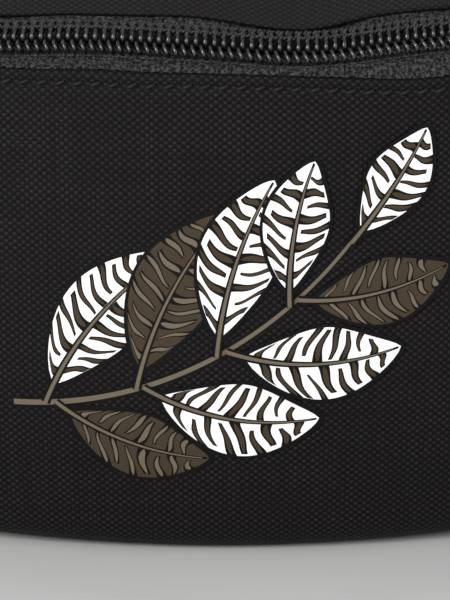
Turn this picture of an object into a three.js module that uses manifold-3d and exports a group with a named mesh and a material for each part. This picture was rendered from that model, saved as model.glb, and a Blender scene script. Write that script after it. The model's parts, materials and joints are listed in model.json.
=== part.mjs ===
// Zipped waist pack: a padded belt bag of woven polyester, worn on a webbing belt.
//
// Frame: millimetres, +Z up, the front of the bag faces -Y, +X is to the right seen from the front.
// The origin is at the middle of the floor area that the whole pack covers.
// The front is part of an upright cylinder, so sections of the bag are laid out in (reach, z):
// reach is the distance from the cylinder's axis, which stands behind the bag at x = 0.

import * as THREE from 'three';
import * as BufferGeometryUtils from 'three/addons/utils/BufferGeometryUtils.js';
import Module from 'manifold-3d';

const wasm = await Module();
wasm.setup();

// ---- driving dimensions -------------------------------------------------------------------

const GAP = 0.3;                  // clearance between touching pieces

const FRONT_RADIUS = 190;         // curvature of the front in plan
const BACK_REACH = 115;           // cylinder axis to the plane of the back seam
const SHELL_ANGLE = 52.2;         // degrees from the middle to the end of the fabric shell
const PANEL = 1.5;                // fabric, foam and lining together
const ZIP_Z = 90;                 // height of the front panel's top edge
const SEAM_LIFT = 6;              // the bottom seam at the back above the lowest point
const CORNER = 7;                 // radius of the bottom front corner
const LEAN = 4.8;                 // how far the front tucks in towards the bottom
const LEAN_ANGLE = 14;            // slope of the front where the corner starts, degrees
const LEAN_TOP = 45;              // height above which the front is upright
const BACK_HEIGHT = 130;          // top seam at the middle of the back
const HALF_WIDTH = 151;           // middle to the side seam

const TAPE = 0.8;                 // zip tape thickness
const TAPE_HIDDEN = 4.5;          // tape sewn behind the front panel's edge
const TAPE_TUCKED = 3;            // tape sewn under the top panel's edge
const TAPE_SHOWN = 2.9;           // tape that shows on each side of the chain
const CHAIN_WIDTH = 6.2;          // both coils of a size 5 zip
const CHAIN_THICK = 2.2;
const CHAIN_SLIT = 1.2;           // room for the slider's web between the coils
const CHAIN_ANGLE = 43.5;          // degrees from the middle to the end of the coils
const TAPE_ANGLE = 51.2;          // and to the end of the tapes
const STRIP_TILT = 45;            // slope of the zip strip
const STRIP_END_TILT = 83;        // it stands up where the bag closes at its ends
const STRIP_EASE_ANGLE = 41;      // where that change of slope starts
const TAB = 1.2;                  // fabric tab over each end of the zip

const BACK_PANEL = 3.5;           // padded back panel
const BACK_HALF = 150;            // half-width of the back panel, where the wings start
const PIPING = 3.5;               // piping diameter
const FLANGE = 4.4;               // back panel edge past the bottom and top seams

const BELT_BULGE = 50;            // how far the belt swings out past the back panel, sideways
const BELT_HALF_DEPTH = 75;       // half of the loop's depth, front to back
const WING = 3.5;                 // padded wing thickness
const WING_ANGLE = 64;            // turn of the belt curve where the wing ends
const WING_END_HEIGHT = 42;
const WEBBING = 38;               // webbing width
const WEBBING_THICK = 1.6;
const BELT_Z = 78;                // height of the belt's middle at the wings
const BUCKLE_HEIGHT = 46;         // the female half, across the webbing
const BUCKLE_THICK = 11;

const SLIDER_ANGLE = 39;          // resting place of the slider, zip closed
const SLIDER_LENGTH = 11;
const PULL_LEAN = 44;             // the pull's cord leaves the slider at this slope
const PULL_CORD = 1.6;            // cord diameter
const GRIP_LENGTH = 24;

// ---- derived sizes ------------------------------------------------------------------------

const DEPTH = FRONT_RADIUS - BACK_REACH;
const BELT_BACK = GAP + BACK_PANEL / 2 + 2 * BELT_HALF_DEPTH;
const AXIS_Y = (FRONT_RADIUS + BACK_REACH - BELT_BACK - BUCKLE_THICK / 2) / 2;
const SEAM_Y = AXIS_Y - BACK_REACH;
const BELT_Y = SEAM_Y + GAP + BACK_PANEL / 2;
const BUCKLE_Y = SEAM_Y + BELT_BACK;
const BUCKLE_Z = BUCKLE_HEIGHT / 2;
const STRIP = 2 * TAPE_SHOWN + CHAIN_WIDTH;

const X = new THREE.Vector3(1, 0, 0);
const Y = new THREE.Vector3(0, 1, 0);
const Z = new THREE.Vector3(0, 0, 1);
const ALONG_X = [Y, Z, X];                    // an outline drawn in Y-Z
const ALONG_Y = [X, Z, Y.clone().negate()];   // an outline drawn in X-Z
const ALONG_Z = [X, Y, Z];                    // an outline drawn in X-Y

const { degToRad, lerp, smoothstep } = THREE.MathUtils;

// ---- shape tools --------------------------------------------------------------------------

const spread = (from, to, count) =>
  Array.from({ length: count + 1 }, (_, i) => lerp(from, to, i / count));

// Joins like rings of points into one closed skin. A ring runs up one side of the section and
// back down the other, so that its point i faces its point n-1-i, which is how the ends close.
function loft(rings, loop = false) {
  const count = rings[0].length;
  const index = [];
  const quad = (a, b, c, d) => index.push(a, b, c, a, c, d);
  const spans = loop ? rings.length : rings.length - 1;
  for (let i = 0; i < spans; i += 1) {
    const here = i * count;
    const there = ((i + 1) % rings.length) * count;
    for (let j = 0; j < count; j += 1) {
      const k = (j + 1) % count;
      quad(here + j, there + j, there + k, here + k);
    }
  }
  const last = (rings.length - 1) * count;
  for (let j = 0; !loop && j < count / 2 - 1; j += 1) {
    const facing = count - 1 - j;
    quad(j, j + 1, facing - 1, facing);
    quad(last + facing, last + facing - 1, last + j + 1, last + j);
  }
  const geometry = new THREE.BufferGeometry().setFromPoints(rings.flat());
  geometry.setIndex(index);
  return isInsideOut(geometry) ? flipped(geometry) : geometry;
}

function isInsideOut(geometry) {
  const p = geometry.getAttribute('position');
  const corner = (i) => new THREE.Vector3().fromBufferAttribute(p, geometry.index.array[i]);
  let volume = 0;
  for (let i = 0; i < geometry.index.count; i += 3) {
    volume += corner(i).dot(corner(i + 1).cross(corner(i + 2)));
  }
  return volume < 0;
}

function flipped(geometry) {
  const index = Array.from(geometry.index.array);
  for (let i = 0; i < index.length; i += 3) {
    [index[i], index[i + 1]] = [index[i + 1], index[i]];
  }
  geometry.setIndex(index);
  return geometry;
}

function outline(points) {
  return new THREE.Shape(points.map(([a, b]) => new THREE.Vector2(a, b)));
}

function roundedOutline(a0, b0, a1, b1, radius) {
  const shape = new THREE.Shape();
  shape.moveTo(a0 + radius, b0);
  shape.lineTo(a1 - radius, b0).quadraticCurveTo(a1, b0, a1, b0 + radius);
  shape.lineTo(a1, b1 - radius).quadraticCurveTo(a1, b1, a1 - radius, b1);
  shape.lineTo(a0 + radius, b1).quadraticCurveTo(a0, b1, a0, b1 - radius);
  shape.lineTo(a0, b0 + radius).quadraticCurveTo(a0, b0, a0 + radius, b0);
  return shape;
}

// An outline given a thickness, centred on the plane that it is drawn in.
function plate(shape, thickness, axes, curveSegments = 4) {
  const geometry = new THREE.ExtrudeGeometry(shape, {
    depth: thickness, bevelEnabled: false, curveSegments,
  });
  geometry.translate(0, 0, -thickness / 2);
  return geometry.applyMatrix4(new THREE.Matrix4().makeBasis(...axes));
}

function block(x0, x1, y0, y1, z0, z1) {
  const geometry = new THREE.BoxGeometry(x1 - x0, y1 - y0, z1 - z0);
  return geometry.translate((x0 + x1) / 2, (y0 + y1) / 2, (z0 + z1) / 2);
}

function solid(geometry) {
  const bare = geometry.clone();
  bare.deleteAttribute('normal');
  bare.deleteAttribute('uv');
  const merged = BufferGeometryUtils.mergeVertices(bare, 1e-4);
  return new wasm.Manifold(new wasm.Mesh({
    numProp: 3,
    vertProperties: new Float32Array(merged.getAttribute('position').array),
    triVerts: new Uint32Array(merged.index.array),
  }));
}

function geometryOf(body) {
  const mesh = body.getMesh();
  const geometry = new THREE.BufferGeometry();
  geometry.setAttribute('position', new THREE.BufferAttribute(mesh.vertProperties, 3));
  geometry.setIndex(new THREE.BufferAttribute(mesh.triVerts, 1));
  return geometry;
}

const joined = (...geometries) => geometries.map(solid).reduce((all, next) => all.add(next));

// ---- the bag's own surface ----------------------------------------------------------------

const bottomEdge = (x) => 0.000725 * x ** 2 + 1.905e-12 * x ** 6;
const seamLift = (x) => SEAM_LIFT * (1 - (x / HALF_WIDTH) ** 2);
const bottomSeam = (x) => bottomEdge(x) + seamLift(x);
const topSeam = (x) => BACK_HEIGHT - 6 * (x / HALF_WIDTH) ** 2 - 8 * (x / HALF_WIDTH) ** 8;

// A line that keeps a distance outside a seam, wherever the seam climbs.
const beside = (seam, distance) => (x) => {
  const slope = (seam(x + 0.5) - seam(x - 0.5));
  return seam(x) + distance * Math.hypot(1, slope);
};

const seamReach = (angle) => BACK_REACH / Math.cos(angle);

function place(angle, reach, z) {
  return new THREE.Vector3(reach * Math.sin(angle), AXIS_Y - reach * Math.cos(angle), z);
}

// The shell thins out where the front meets the back at the ends.
const shellThickness = (angle) =>
  Math.min(PANEL, 0.2 + 0.2 * (FRONT_RADIUS - seamReach(angle)));

// The middle section of the front panel: the bottom runs forward from the back seam, turns a
// tight corner and rises, tucked in below. Each point is a fraction of the depth, of the height
// and of the back seam's lift.
function frontSection() {
  const lean = degToRad(LEAN_ANGLE);
  const cornerCentre = [DEPTH - LEAN - CORNER * Math.cos(lean), CORNER];
  const cornerTop = CORNER * (1 - Math.sin(lean));
  const bottom = spread(0, 1, 4).slice(0, -1).map((t) =>
    [cornerCentre[0] * t, 0, 1 - t]);
  const corner = spread(-Math.PI / 2, -lean, 4).map((a) =>
    [cornerCentre[0] + CORNER * Math.cos(a), cornerCentre[1] + CORNER * Math.sin(a)]);
  const front = spread(cornerTop, LEAN_TOP, 4).slice(1).map((z) =>
    [DEPTH - LEAN * ((LEAN_TOP - z) / (LEAN_TOP - cornerTop)) ** 2, z]);
  return [...bottom, ...corner, ...front, [DEPTH, ZIP_Z]].map(([d, z, lift = 0]) =>
    [d / DEPTH, z / ZIP_Z, lift]);
}

function frontPanel() {
  const section = frontSection();
  const rings = spread(-SHELL_ANGLE, SHELL_ANGLE, 48).map(degToRad).map((angle) => {
    const seam = seamReach(angle);
    const skin = (inset) => section.map(([depth, height, lift]) => {
      const reach = seam + (FRONT_RADIUS - inset - seam) * depth;
      const x = reach * Math.sin(angle);
      const bottom = bottomEdge(x) + inset;
      return place(angle, reach, bottom + (ZIP_Z - bottom) * height + seamLift(x) * lift);
    });
    return [...skin(0), ...skin(shellThickness(angle)).reverse()];
  });
  return loft(rings);
}

// ---- the zip ------------------------------------------------------------------------------

// The zip strip at an angle round the bag: its two knees, its middle, and the directions along
// it (up and back) and out of it, all in (reach, z).
function strip(angle) {
  const turned = Math.abs(THREE.MathUtils.radToDeg(angle));
  const ease = smoothstep(turned, STRIP_EASE_ANGLE, SHELL_ANGLE);
  const tilt = degToRad(lerp(STRIP_TILT, STRIP_END_TILT, ease));
  const up = new THREE.Vector2(-Math.cos(tilt), Math.sin(tilt));
  const out = new THREE.Vector2(Math.sin(tilt), Math.cos(tilt));
  const low = new THREE.Vector2(FRONT_RADIUS - PANEL - GAP - TAPE / 2, ZIP_Z + GAP);
  const high = low.clone().addScaledVector(up, STRIP);
  const seam = new THREE.Vector2(seamReach(angle), topSeam(BACK_REACH * Math.tan(angle)));
  const roof = seam.clone().sub(high).normalize();
  const roofOut = new THREE.Vector2(roof.y, -roof.x);
  return { up, out, low, high, seam, roof, roofOut, middle: low.clone().lerp(high, 0.5) };
}

// Where the pieces along the zip have their sections, closer together where the strip stands up.
const STATIONS = [
  ...spread(-SHELL_ANGLE, -STRIP_EASE_ANGLE, 9),
  ...spread(-STRIP_EASE_ANGLE, STRIP_EASE_ANGLE, 28).slice(1, -1),
  ...spread(STRIP_EASE_ANGLE, SHELL_ANGLE, 9),
];

const stationsBetween = (from, to) =>
  [from, ...STATIONS.filter((angle) => angle > from + 0.2 && angle < to - 0.2), to].map(degToRad);

// A band that follows the zip: its section is pairs of inner and outer points.
function zipBand(from, to, section) {
  const rings = stationsBetween(from, to).map((angle) => {
    const pairs = section(strip(angle));
    const inner = pairs.map(([p]) => place(angle, p.x, p.y));
    const outer = pairs.map(([, p]) => place(angle, p.x, p.y));
    return [...inner, ...outer.reverse()];
  });
  return loft(rings);
}

const shifted = (point, ...moves) =>
  moves.reduce((p, [direction, distance]) => p.addScaledVector(direction, distance), point.clone());

const across = (point, direction, from, to) =>
  [shifted(point, [direction, from]), shifted(point, [direction, to])];

function tapeLower() {
  const down = new THREE.Vector2(0, -1);
  const outwards = new THREE.Vector2(1, 0);
  return zipBand(-TAPE_ANGLE, TAPE_ANGLE, (s) => [
    across(shifted(s.low, [down, TAPE_HIDDEN]), outwards, -TAPE / 2, TAPE / 2),
    across(s.low, s.out.clone().add(outwards).normalize(), -TAPE / 2, TAPE / 2),
    across(shifted(s.middle, [s.up, -CHAIN_SLIT / 2]), s.out, -TAPE / 2, TAPE / 2),
  ]);
}

function tapeUpper() {
  return zipBand(-TAPE_ANGLE, TAPE_ANGLE, (s) => [
    across(shifted(s.middle, [s.up, CHAIN_SLIT / 2]), s.out, -TAPE / 2, TAPE / 2),
    across(s.high, s.out.clone().add(s.roofOut).normalize(), -TAPE / 2, TAPE / 2),
    across(shifted(s.high, [s.roof, TAPE_TUCKED]), s.roofOut, -TAPE / 2, TAPE / 2),
  ]);
}

function coil(side) {
  const base = TAPE / 2 + GAP;
  const top = base + CHAIN_THICK;
  return zipBand(-CHAIN_ANGLE, CHAIN_ANGLE, (s) => [
    across(shifted(s.middle, [s.up, side * CHAIN_SLIT / 2]), s.out, base, top),
    across(shifted(s.middle, [s.up, side * CHAIN_WIDTH / 2]), s.out, base, top),
  ]);
}

function zipEndTab(side) {
  const base = TAPE / 2 + GAP;
  const ends = [side * (CHAIN_ANGLE + 0.5), side * SHELL_ANGLE].sort((a, b) => a - b);
  return zipBand(...ends, (s) => [
    across(shifted(s.low, [s.up, 0.5]), s.out, base, base + TAB),
    across(s.middle, s.out, base, base + TAB),
    across(shifted(s.high, [s.up, -0.5]), s.out, base, base + TAB),
  ]);
}

// The top runs from over the zip tape back and up to the seam, with a slight crown.
function topPanel() {
  const rings = stationsBetween(-SHELL_ANGLE, SHELL_ANGLE).map((angle) => {
    const s = strip(angle);
    const thickness = shellThickness(angle);
    const front = shifted(s.high, [s.roofOut, TAPE / 2 + GAP + PANEL]);
    const crown = 0.045 * front.distanceTo(s.seam);
    const outer = spread(0, 1, 5).map((t) =>
      shifted(front.clone().lerp(s.seam, t), [s.roofOut, crown * Math.sin(Math.PI * t)]));
    const inner = outer.map((p, i) => {
      const straight = (i / 5) ** 2;
      const inwards = s.roofOut.clone().multiplyScalar(straight - 1);
      return shifted(p, [inwards, thickness], [new THREE.Vector2(0, -1), thickness * straight]);
    });
    return [...outer, ...inner.reverse()].map((p) => place(angle, p.x, p.y));
  });
  return loft(rings);
}

// ---- the slider and its pull --------------------------------------------------------------

const COIL_TOP = TAPE / 2 + GAP + CHAIN_THICK;
const PLATE_LOW = COIL_TOP + GAP;             // underside of the slider's top plate
const PLATE_TOP = PLATE_LOW + 1.1;
const FLANGE_IN = CHAIN_WIDTH / 2 + GAP;
const SLIDER_HALF = FLANGE_IN + 1;
const SLIDER_EDGE = 0.9;                      // bevel along the slider's top edges
const BRIDGE_BAR = PLATE_TOP + 3.1;           // middle of the bar that carries the pull

// Local axes of the slider: X along the zip, Y up the strip, Z out of it.
function slider() {
  const body = outline([
    [-SLIDER_HALF, TAPE / 2 + GAP], [-SLIDER_HALF, PLATE_TOP - SLIDER_EDGE],
    [SLIDER_EDGE - SLIDER_HALF, PLATE_TOP], [SLIDER_HALF - SLIDER_EDGE, PLATE_TOP],
    [SLIDER_HALF, PLATE_TOP - SLIDER_EDGE], [SLIDER_HALF, TAPE / 2 + GAP],
    [FLANGE_IN, TAPE / 2 + GAP], [FLANGE_IN, PLATE_LOW],
    [-FLANGE_IN, PLATE_LOW], [-FLANGE_IN, TAPE / 2 + GAP],
  ]);
  const under = -TAPE / 2 - GAP;
  const half = SLIDER_LENGTH / 2;
  const backPlate = block(-half, half, -SLIDER_HALF, SLIDER_HALF, under - 1, under);
  const web = block(1.5, half - 0.5, GAP - CHAIN_SLIT / 2, CHAIN_SLIT / 2 - GAP,
    under - 0.5, PLATE_LOW + 0.5);
  const arch = roundedOutline(-3.4, PLATE_TOP - 0.5, 3.4, BRIDGE_BAR + 0.6, 1);
  arch.holes.push(roundedOutline(-2.2, PLATE_TOP, 2.2, BRIDGE_BAR - 0.5, 0.4));
  const shield = outline([
    [-half, -3.6], [half - 3, -SLIDER_HALF], [half - 0.8, -3.9], [half, -2.6],
    [half, 2.6], [half - 0.8, 3.9], [half - 3, SLIDER_HALF], [-half, 3.6],
  ]);
  const whole = joined(plate(body, SLIDER_LENGTH, ALONG_X), backPlate, web,
    plate(arch, 1.6, ALONG_Y));
  return geometryOf(whole.intersect(solid(plate(shield, 4 * PLATE_TOP, ALONG_Z))));
}

// The cord of the pull goes round the bridge bar and down over the slider's edge to the grip.
// It is drawn in (reach, z), about the bar.
function pullCord() {
  const hang = degToRad(PULL_LEAN) - Math.PI / 2;
  const along = new THREE.Vector2(Math.cos(hang), Math.sin(hang));
  const side = new THREE.Vector2(-along.y, along.x);
  const bend = 1.9;
  const round = spread(Math.PI / 2, 1.5 * Math.PI, 6).map((a) =>
    shifted(new THREE.Vector2(), [along, bend * Math.cos(a)], [side, bend * Math.sin(a)]));
  const tip = spread(-1, 1, 2).map((t) =>
    shifted(new THREE.Vector2(), [along, 8], [side, 0.95 * t]));
  const route = new THREE.CatmullRomCurve3(
    [...round, ...tip].map((p) => new THREE.Vector3(0, -p.x, p.y)), true);
  const steps = 28;
  const rings = spread(0, 1, steps).slice(0, steps).map((t) => {
    const tangent = route.getTangentAt(t);
    const wide = tangent.clone().cross(X);
    return spread(0, 2 * Math.PI, 8).slice(0, 8).map((a) => route.getPointAt(t)
      .addScaledVector(X, Math.cos(a) * PULL_CORD / 2)
      .addScaledVector(wide, Math.sin(a) * PULL_CORD / 2));
  });
  return loft(rings, true);
}

function pullGrip() {
  const half = GRIP_LENGTH / 2;
  const shape = outline([
    [-2.6, half], [-3.4, half - 1], [-4.2, 0], [-4.2, 2 - half], [-3, -half],
    [3, -half], [4.2, 2 - half], [4.2, 0], [3.4, half - 1], [2.6, half],
  ]);
  return plate(shape, 3, ALONG_Y);
}

// ---- back panel, piping and wings ---------------------------------------------------------

const flangeLow = beside(bottomSeam, -FLANGE);
const flangeHigh = beside(topSeam, FLANGE);

function backPanel() {
  const lower = spread(-BACK_HALF, BACK_HALF, 24).map((x) => [x, flangeLow(x)]);
  const upper = spread(BACK_HALF, -BACK_HALF, 24).map((x) => [x, flangeHigh(x)]);
  const panel = plate(outline([...lower, ...upper]), BACK_PANEL, ALONG_Y);
  return panel.translate(0, BELT_Y, 0);
}

function piping() {
  const radius = PIPING / 2;
  const side = HALF_WIDTH + 2.2;
  const reach = side - 2.6;
  const below = beside(bottomSeam, -3);
  const above = beside(topSeam, 2);
  const flat = [
    ...spread(-reach, reach, 16).map((x) => [x, below(x)]),
    ...spread(46, 108, 3).map((z) => [side, z]),
    ...spread(reach, -reach, 16).map((x) => [x, above(x)]),
    ...spread(108, 46, 3).map((z) => [-side, z]),
  ];
  const y = SEAM_Y - GAP - radius;
  const route = new THREE.CatmullRomCurve3(
    flat.map(([x, z]) => new THREE.Vector3(x, y, z)), true);
  const steps = 84;
  const rings = spread(0, 1, steps).slice(0, steps).map((t) => {
    const wide = route.getTangentAt(t).cross(Y).normalize();
    return spread(0, 2 * Math.PI, 8).slice(0, 8).map((a) => route.getPointAt(t)
      .addScaledVector(Y, Math.cos(a) * radius)
      .addScaledVector(wide, Math.sin(a) * radius));
  });
  return loft(rings, true);
}

// The belt's route in plan: a quarter turn out and back to its widest, then round to the rear.
function beltCurve(side, turn) {
  return new THREE.Vector3(
    side * (BACK_HALF + BELT_BULGE * Math.sin(turn)),
    BELT_Y + BELT_HALF_DEPTH * (1 - Math.cos(turn)),
    lerp(BELT_Z, BUCKLE_Z, smoothstep(turn, degToRad(WING_ANGLE), Math.PI)),
  );
}

// A strip standing on edge along a route, with bevelled long edges where edge is given.
function upright(route, thickness, heights, edge = 0) {
  const rings = route.map((point, i) => {
    const before = route[Math.max(i - 1, 0)];
    const after = route[Math.min(i + 1, route.length - 1)];
    const wide = new THREE.Vector3(after.y - before.y, before.x - after.x, 0).normalize();
    const [low, high] = heights(point, i / (route.length - 1));
    const half = thickness / 2;
    const rise = edge > 0
      ? [[half - edge, low], [half, low + edge], [half, high - edge], [half - edge, high]]
      : [[half, low], [half, high]];
    const at = (s, z) => new THREE.Vector3(point.x, point.y, z).addScaledVector(wide, s);
    return [...rise.map(([s, z]) => at(s, z)), ...rise.map(([s, z]) => at(-s, z)).reverse()];
  });
  return loft(rings);
}

function wing(side) {
  const start = Math.asin(GAP / BELT_BULGE);
  const route = spread(start, degToRad(WING_ANGLE), 10).map((turn) => beltCurve(side, turn));
  const low = flangeLow(BACK_HALF);
  const high = flangeHigh(BACK_HALF);
  return upright(route, WING, (point, t) => {
    const taper = smoothstep(t, -0.15, 1.1);
    return [
      lerp(low, BELT_Z - WING_END_HEIGHT / 2, taper),
      lerp(high, BELT_Z + WING_END_HEIGHT / 2, taper),
    ];
  }, 1);
}

// ---- webbing ------------------------------------------------------------------------------

const LEG = 3.1;                  // webbing's middle to the middle of the bar it goes round
const FOLD = WEBBING_THICK + 0.35;

const webbingHeights = (point) => [point.z - WEBBING / 2, point.z + WEBBING / 2];

function curvedRoute(side) {
  const clear = degToRad(WING_ANGLE) + GAP / BELT_HALF_DEPTH;
  return spread(clear, Math.PI, 20).map((turn) => beltCurve(side, turn));
}

// The straight run to a buckle: it opens out, goes round the bar at barX and comes back
// doubled on the outside, parallel for a stretch beside the buckle's own bars.
function doubledRoute(side, barX, parallel, returnTo) {
  const at = (away, offset) =>
    new THREE.Vector3(barX + side * away, BUCKLE_Y + offset, BUCKLE_Z);
  const opening = spread(1, 0, 4).map((t) => [parallel + 16 * t, smoothstep(t, 0, 1)]);
  const going = opening.map(([away, shut]) => at(away, -LEG * (1 - shut)));
  const round = spread(-Math.PI / 2, -1.5 * Math.PI, 8).map((a) =>
    at(LEG * Math.cos(a), LEG * Math.sin(a)));
  const coming = opening.map(([away, shut]) => at(away, lerp(LEG, FOLD, shut))).reverse();
  return [...going, ...round, ...coming, at(Math.abs(returnTo - barX), FOLD)];
}

// ---- side-release buckle ------------------------------------------------------------------

const HALF_BUCKLE = BUCKLE_HEIGHT / 2;
const BAR = 4;                    // bars that the webbing goes round
const FEMALE_BAR_X = -31.5;
const MALE_BAR_X = 16.5;
const MALE_END_BAR_X = 26;
const RAIL_IN = WEBBING / 2 + 0.75;
const MOUTH_X = 4;

function bar(x) {
  const geometry = new THREE.CylinderGeometry(BAR / 2, BAR / 2, 2 * RAIL_IN + 2, 12);
  return geometry.rotateX(Math.PI / 2).translate(x, 0, 0);
}

function buckleFemale() {
  const body = plate(roundedOutline(-34, -HALF_BUCKLE, MOUTH_X, HALF_BUCKLE, 5),
    BUCKLE_THICK, ALONG_Y);
  const cavity = block(-18, MOUTH_X + 1, -3.3, 3.3, -19.5, 19.5);
  const window = block(-16, -3.5, -3.3, 3.3, -HALF_BUCKLE - 1, HALF_BUCKLE + 1);
  const slot = block(-36, -25.5, -BUCKLE_THICK, BUCKLE_THICK, -RAIL_IN, RAIL_IN);
  const shell = [cavity, window, slot].map(solid).reduce((b, cut) => b.subtract(cut), solid(body));
  return geometryOf(shell.add(solid(bar(FEMALE_BAR_X)))).translate(0, BUCKLE_Y, BUCKLE_Z);
}

const SHOULDER_X = MOUTH_X + 0.4;
const TONGUE_THICK = 5.6;

function buckleMale() {
  const base = plate(roundedOutline(SHOULDER_X, -22.5, 28.5, 22.5, 4), 9, ALONG_Y);
  const slot = block(9.5, 30, -BUCKLE_THICK, BUCKLE_THICK, -RAIL_IN, RAIL_IN);
  const tongue = plate(roundedOutline(-15, -3.5, SHOULDER_X + 2, 3.5, 2), TONGUE_THICK, ALONG_Y);
  const whole = solid(base).subtract(solid(slot))
    .add(joined(tongue, bar(MALE_BAR_X), bar(MALE_END_BAR_X)));
  return geometryOf(whole).translate(0, BUCKLE_Y, BUCKLE_Z);
}

// A springy prong, whose head catches behind the mouth's edge and shows in the side window.
function buckleProng(side) {
  const root = SHOULDER_X - GAP;
  return plate(outline([
    [root, 11 * side], [-14.5, 15.5 * side], [-16, 17.5 * side], [-13, 20.5 * side],
    [-5, 22.3 * side], [-5, 19 * side], [root, 15.5 * side],
  ]), TONGUE_THICK, ALONG_Y).translate(0, BUCKLE_Y, BUCKLE_Z);
}

// An elastic loop that holds the loose end of the webbing against the belt.
function keeper() {
  const height = WEBBING / 2 + GAP;
  const inner = -WEBBING_THICK / 2 - GAP;
  const outer = FOLD + WEBBING_THICK / 2 + GAP;
  const ring = roundedOutline(inner - 1, -height - 1, outer + 1, height + 1, 0.8);
  ring.holes.push(roundedOutline(inner, -height, outer, height, 0.3));
  return plate(ring, 12, ALONG_X).translate(95, BUCKLE_Y, BUCKLE_Z);
}

// ---- assembly -----------------------------------------------------------------------------

const group = new THREE.Group();

function add(name, geometry, colour, roughness = 0.9, metalness = 0) {
  const material = new THREE.MeshStandardMaterial({ color: colour, roughness, metalness });
  const mesh = new THREE.Mesh(geometry, material);
  mesh.name = name;
  group.add(mesh);
  return mesh;
}

const FABRIC = 0x232122;
const LINING_MESH = 0x1c1c1d;
const TAPE_BLACK = 0x2c2c2c;
const COIL_BLACK = 0x323232;
const WEBBING_BLACK = 0x1d1d1e;
const ACETAL_BLACK = 0x161617;

add('front_panel', frontPanel(), FABRIC);
add('top_panel', topPanel(), FABRIC);
add('back_panel', backPanel(), LINING_MESH);
add('piping', piping(), FABRIC);
add('zip_tape_lower', tapeLower(), TAPE_BLACK);
add('zip_tape_upper', tapeUpper(), TAPE_BLACK);
add('zip_coil_lower', coil(-1), COIL_BLACK, 0.5);
add('zip_coil_upper', coil(1), COIL_BLACK, 0.5);

for (const [name, side] of [['left', -1], ['right', 1]]) {
  add(`zip_end_tab_${name}`, zipEndTab(side), FABRIC);
  add(`wing_${name}`, wing(side), FABRIC);
}

const leftRoute = [...curvedRoute(-1), ...doubledRoute(-1, FEMALE_BAR_X, 3, -64)];
add('webbing_left', upright(leftRoute, WEBBING_THICK, webbingHeights), WEBBING_BLACK);
add('webbing_right', upright(curvedRoute(1), WEBBING_THICK, webbingHeights), WEBBING_BLACK);
const adjusterStart = new THREE.Vector3(BACK_HALF - GAP, BUCKLE_Y, BUCKLE_Z);
const adjusterRoute = [adjusterStart, ...doubledRoute(1, MALE_BAR_X, 12.5, 118)];
add('webbing_adjuster', upright(adjusterRoute, WEBBING_THICK, webbingHeights), WEBBING_BLACK);

add('buckle_female', buckleFemale(), ACETAL_BLACK, 0.45);
add('buckle_male', buckleMale(), ACETAL_BLACK, 0.45);
add('buckle_prong_upper', buckleProng(1), ACETAL_BLACK, 0.45);
add('buckle_prong_lower', buckleProng(-1), ACETAL_BLACK, 0.45);
add('webbing_keeper', keeper(), WEBBING_BLACK);

// The slider stands square to the strip; the pull hangs upright below its bridge.
const rest = degToRad(SLIDER_ANGLE);
const seat = strip(rest);
const middle = place(rest, seat.middle.x, seat.middle.y);
const along = new THREE.Vector3(Math.cos(rest), Math.sin(rest), 0);
const towards = (direction) => new THREE.Vector3(
  direction.x * Math.sin(rest), -direction.x * Math.cos(rest), direction.y);
const sliderMesh = add('zip_slider', slider(), 0x2a2a2b, 0.4, 0.8);
sliderMesh.applyMatrix4(new THREE.Matrix4()
  .makeBasis(along, towards(seat.up), towards(seat.out)).setPosition(middle));

const barPoint = shifted(seat.middle, [seat.out, BRIDGE_BAR]);
const hanger = new THREE.Group();
hanger.position.copy(place(rest, barPoint.x, barPoint.y));
hanger.rotation.z = rest;
group.add(hanger);
hanger.add(add('pull_cord', pullCord(), WEBBING_BLACK));
const grip = add('pull_grip', pullGrip(), ACETAL_BLACK, 0.7);
const gripTop = shifted(new THREE.Vector2(), [new THREE.Vector2(
  Math.sin(degToRad(PULL_LEAN)), -Math.cos(degToRad(PULL_LEAN))), 8 + PULL_CORD / 2 + 2 * GAP]);
grip.position.set(0, -gripTop.x, gripTop.y - GRIP_LENGTH / 2);
hanger.add(grip);

export default group;
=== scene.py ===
"""A small crescent-shaped waist pack of black woven polyester: a front panel printed with a
spray of leaves, a coil zip under a sloping top, padded back and wings, and a webbing belt."""
import json
import math

import bmesh
import bpy
import numpy as np
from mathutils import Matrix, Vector, noise


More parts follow.
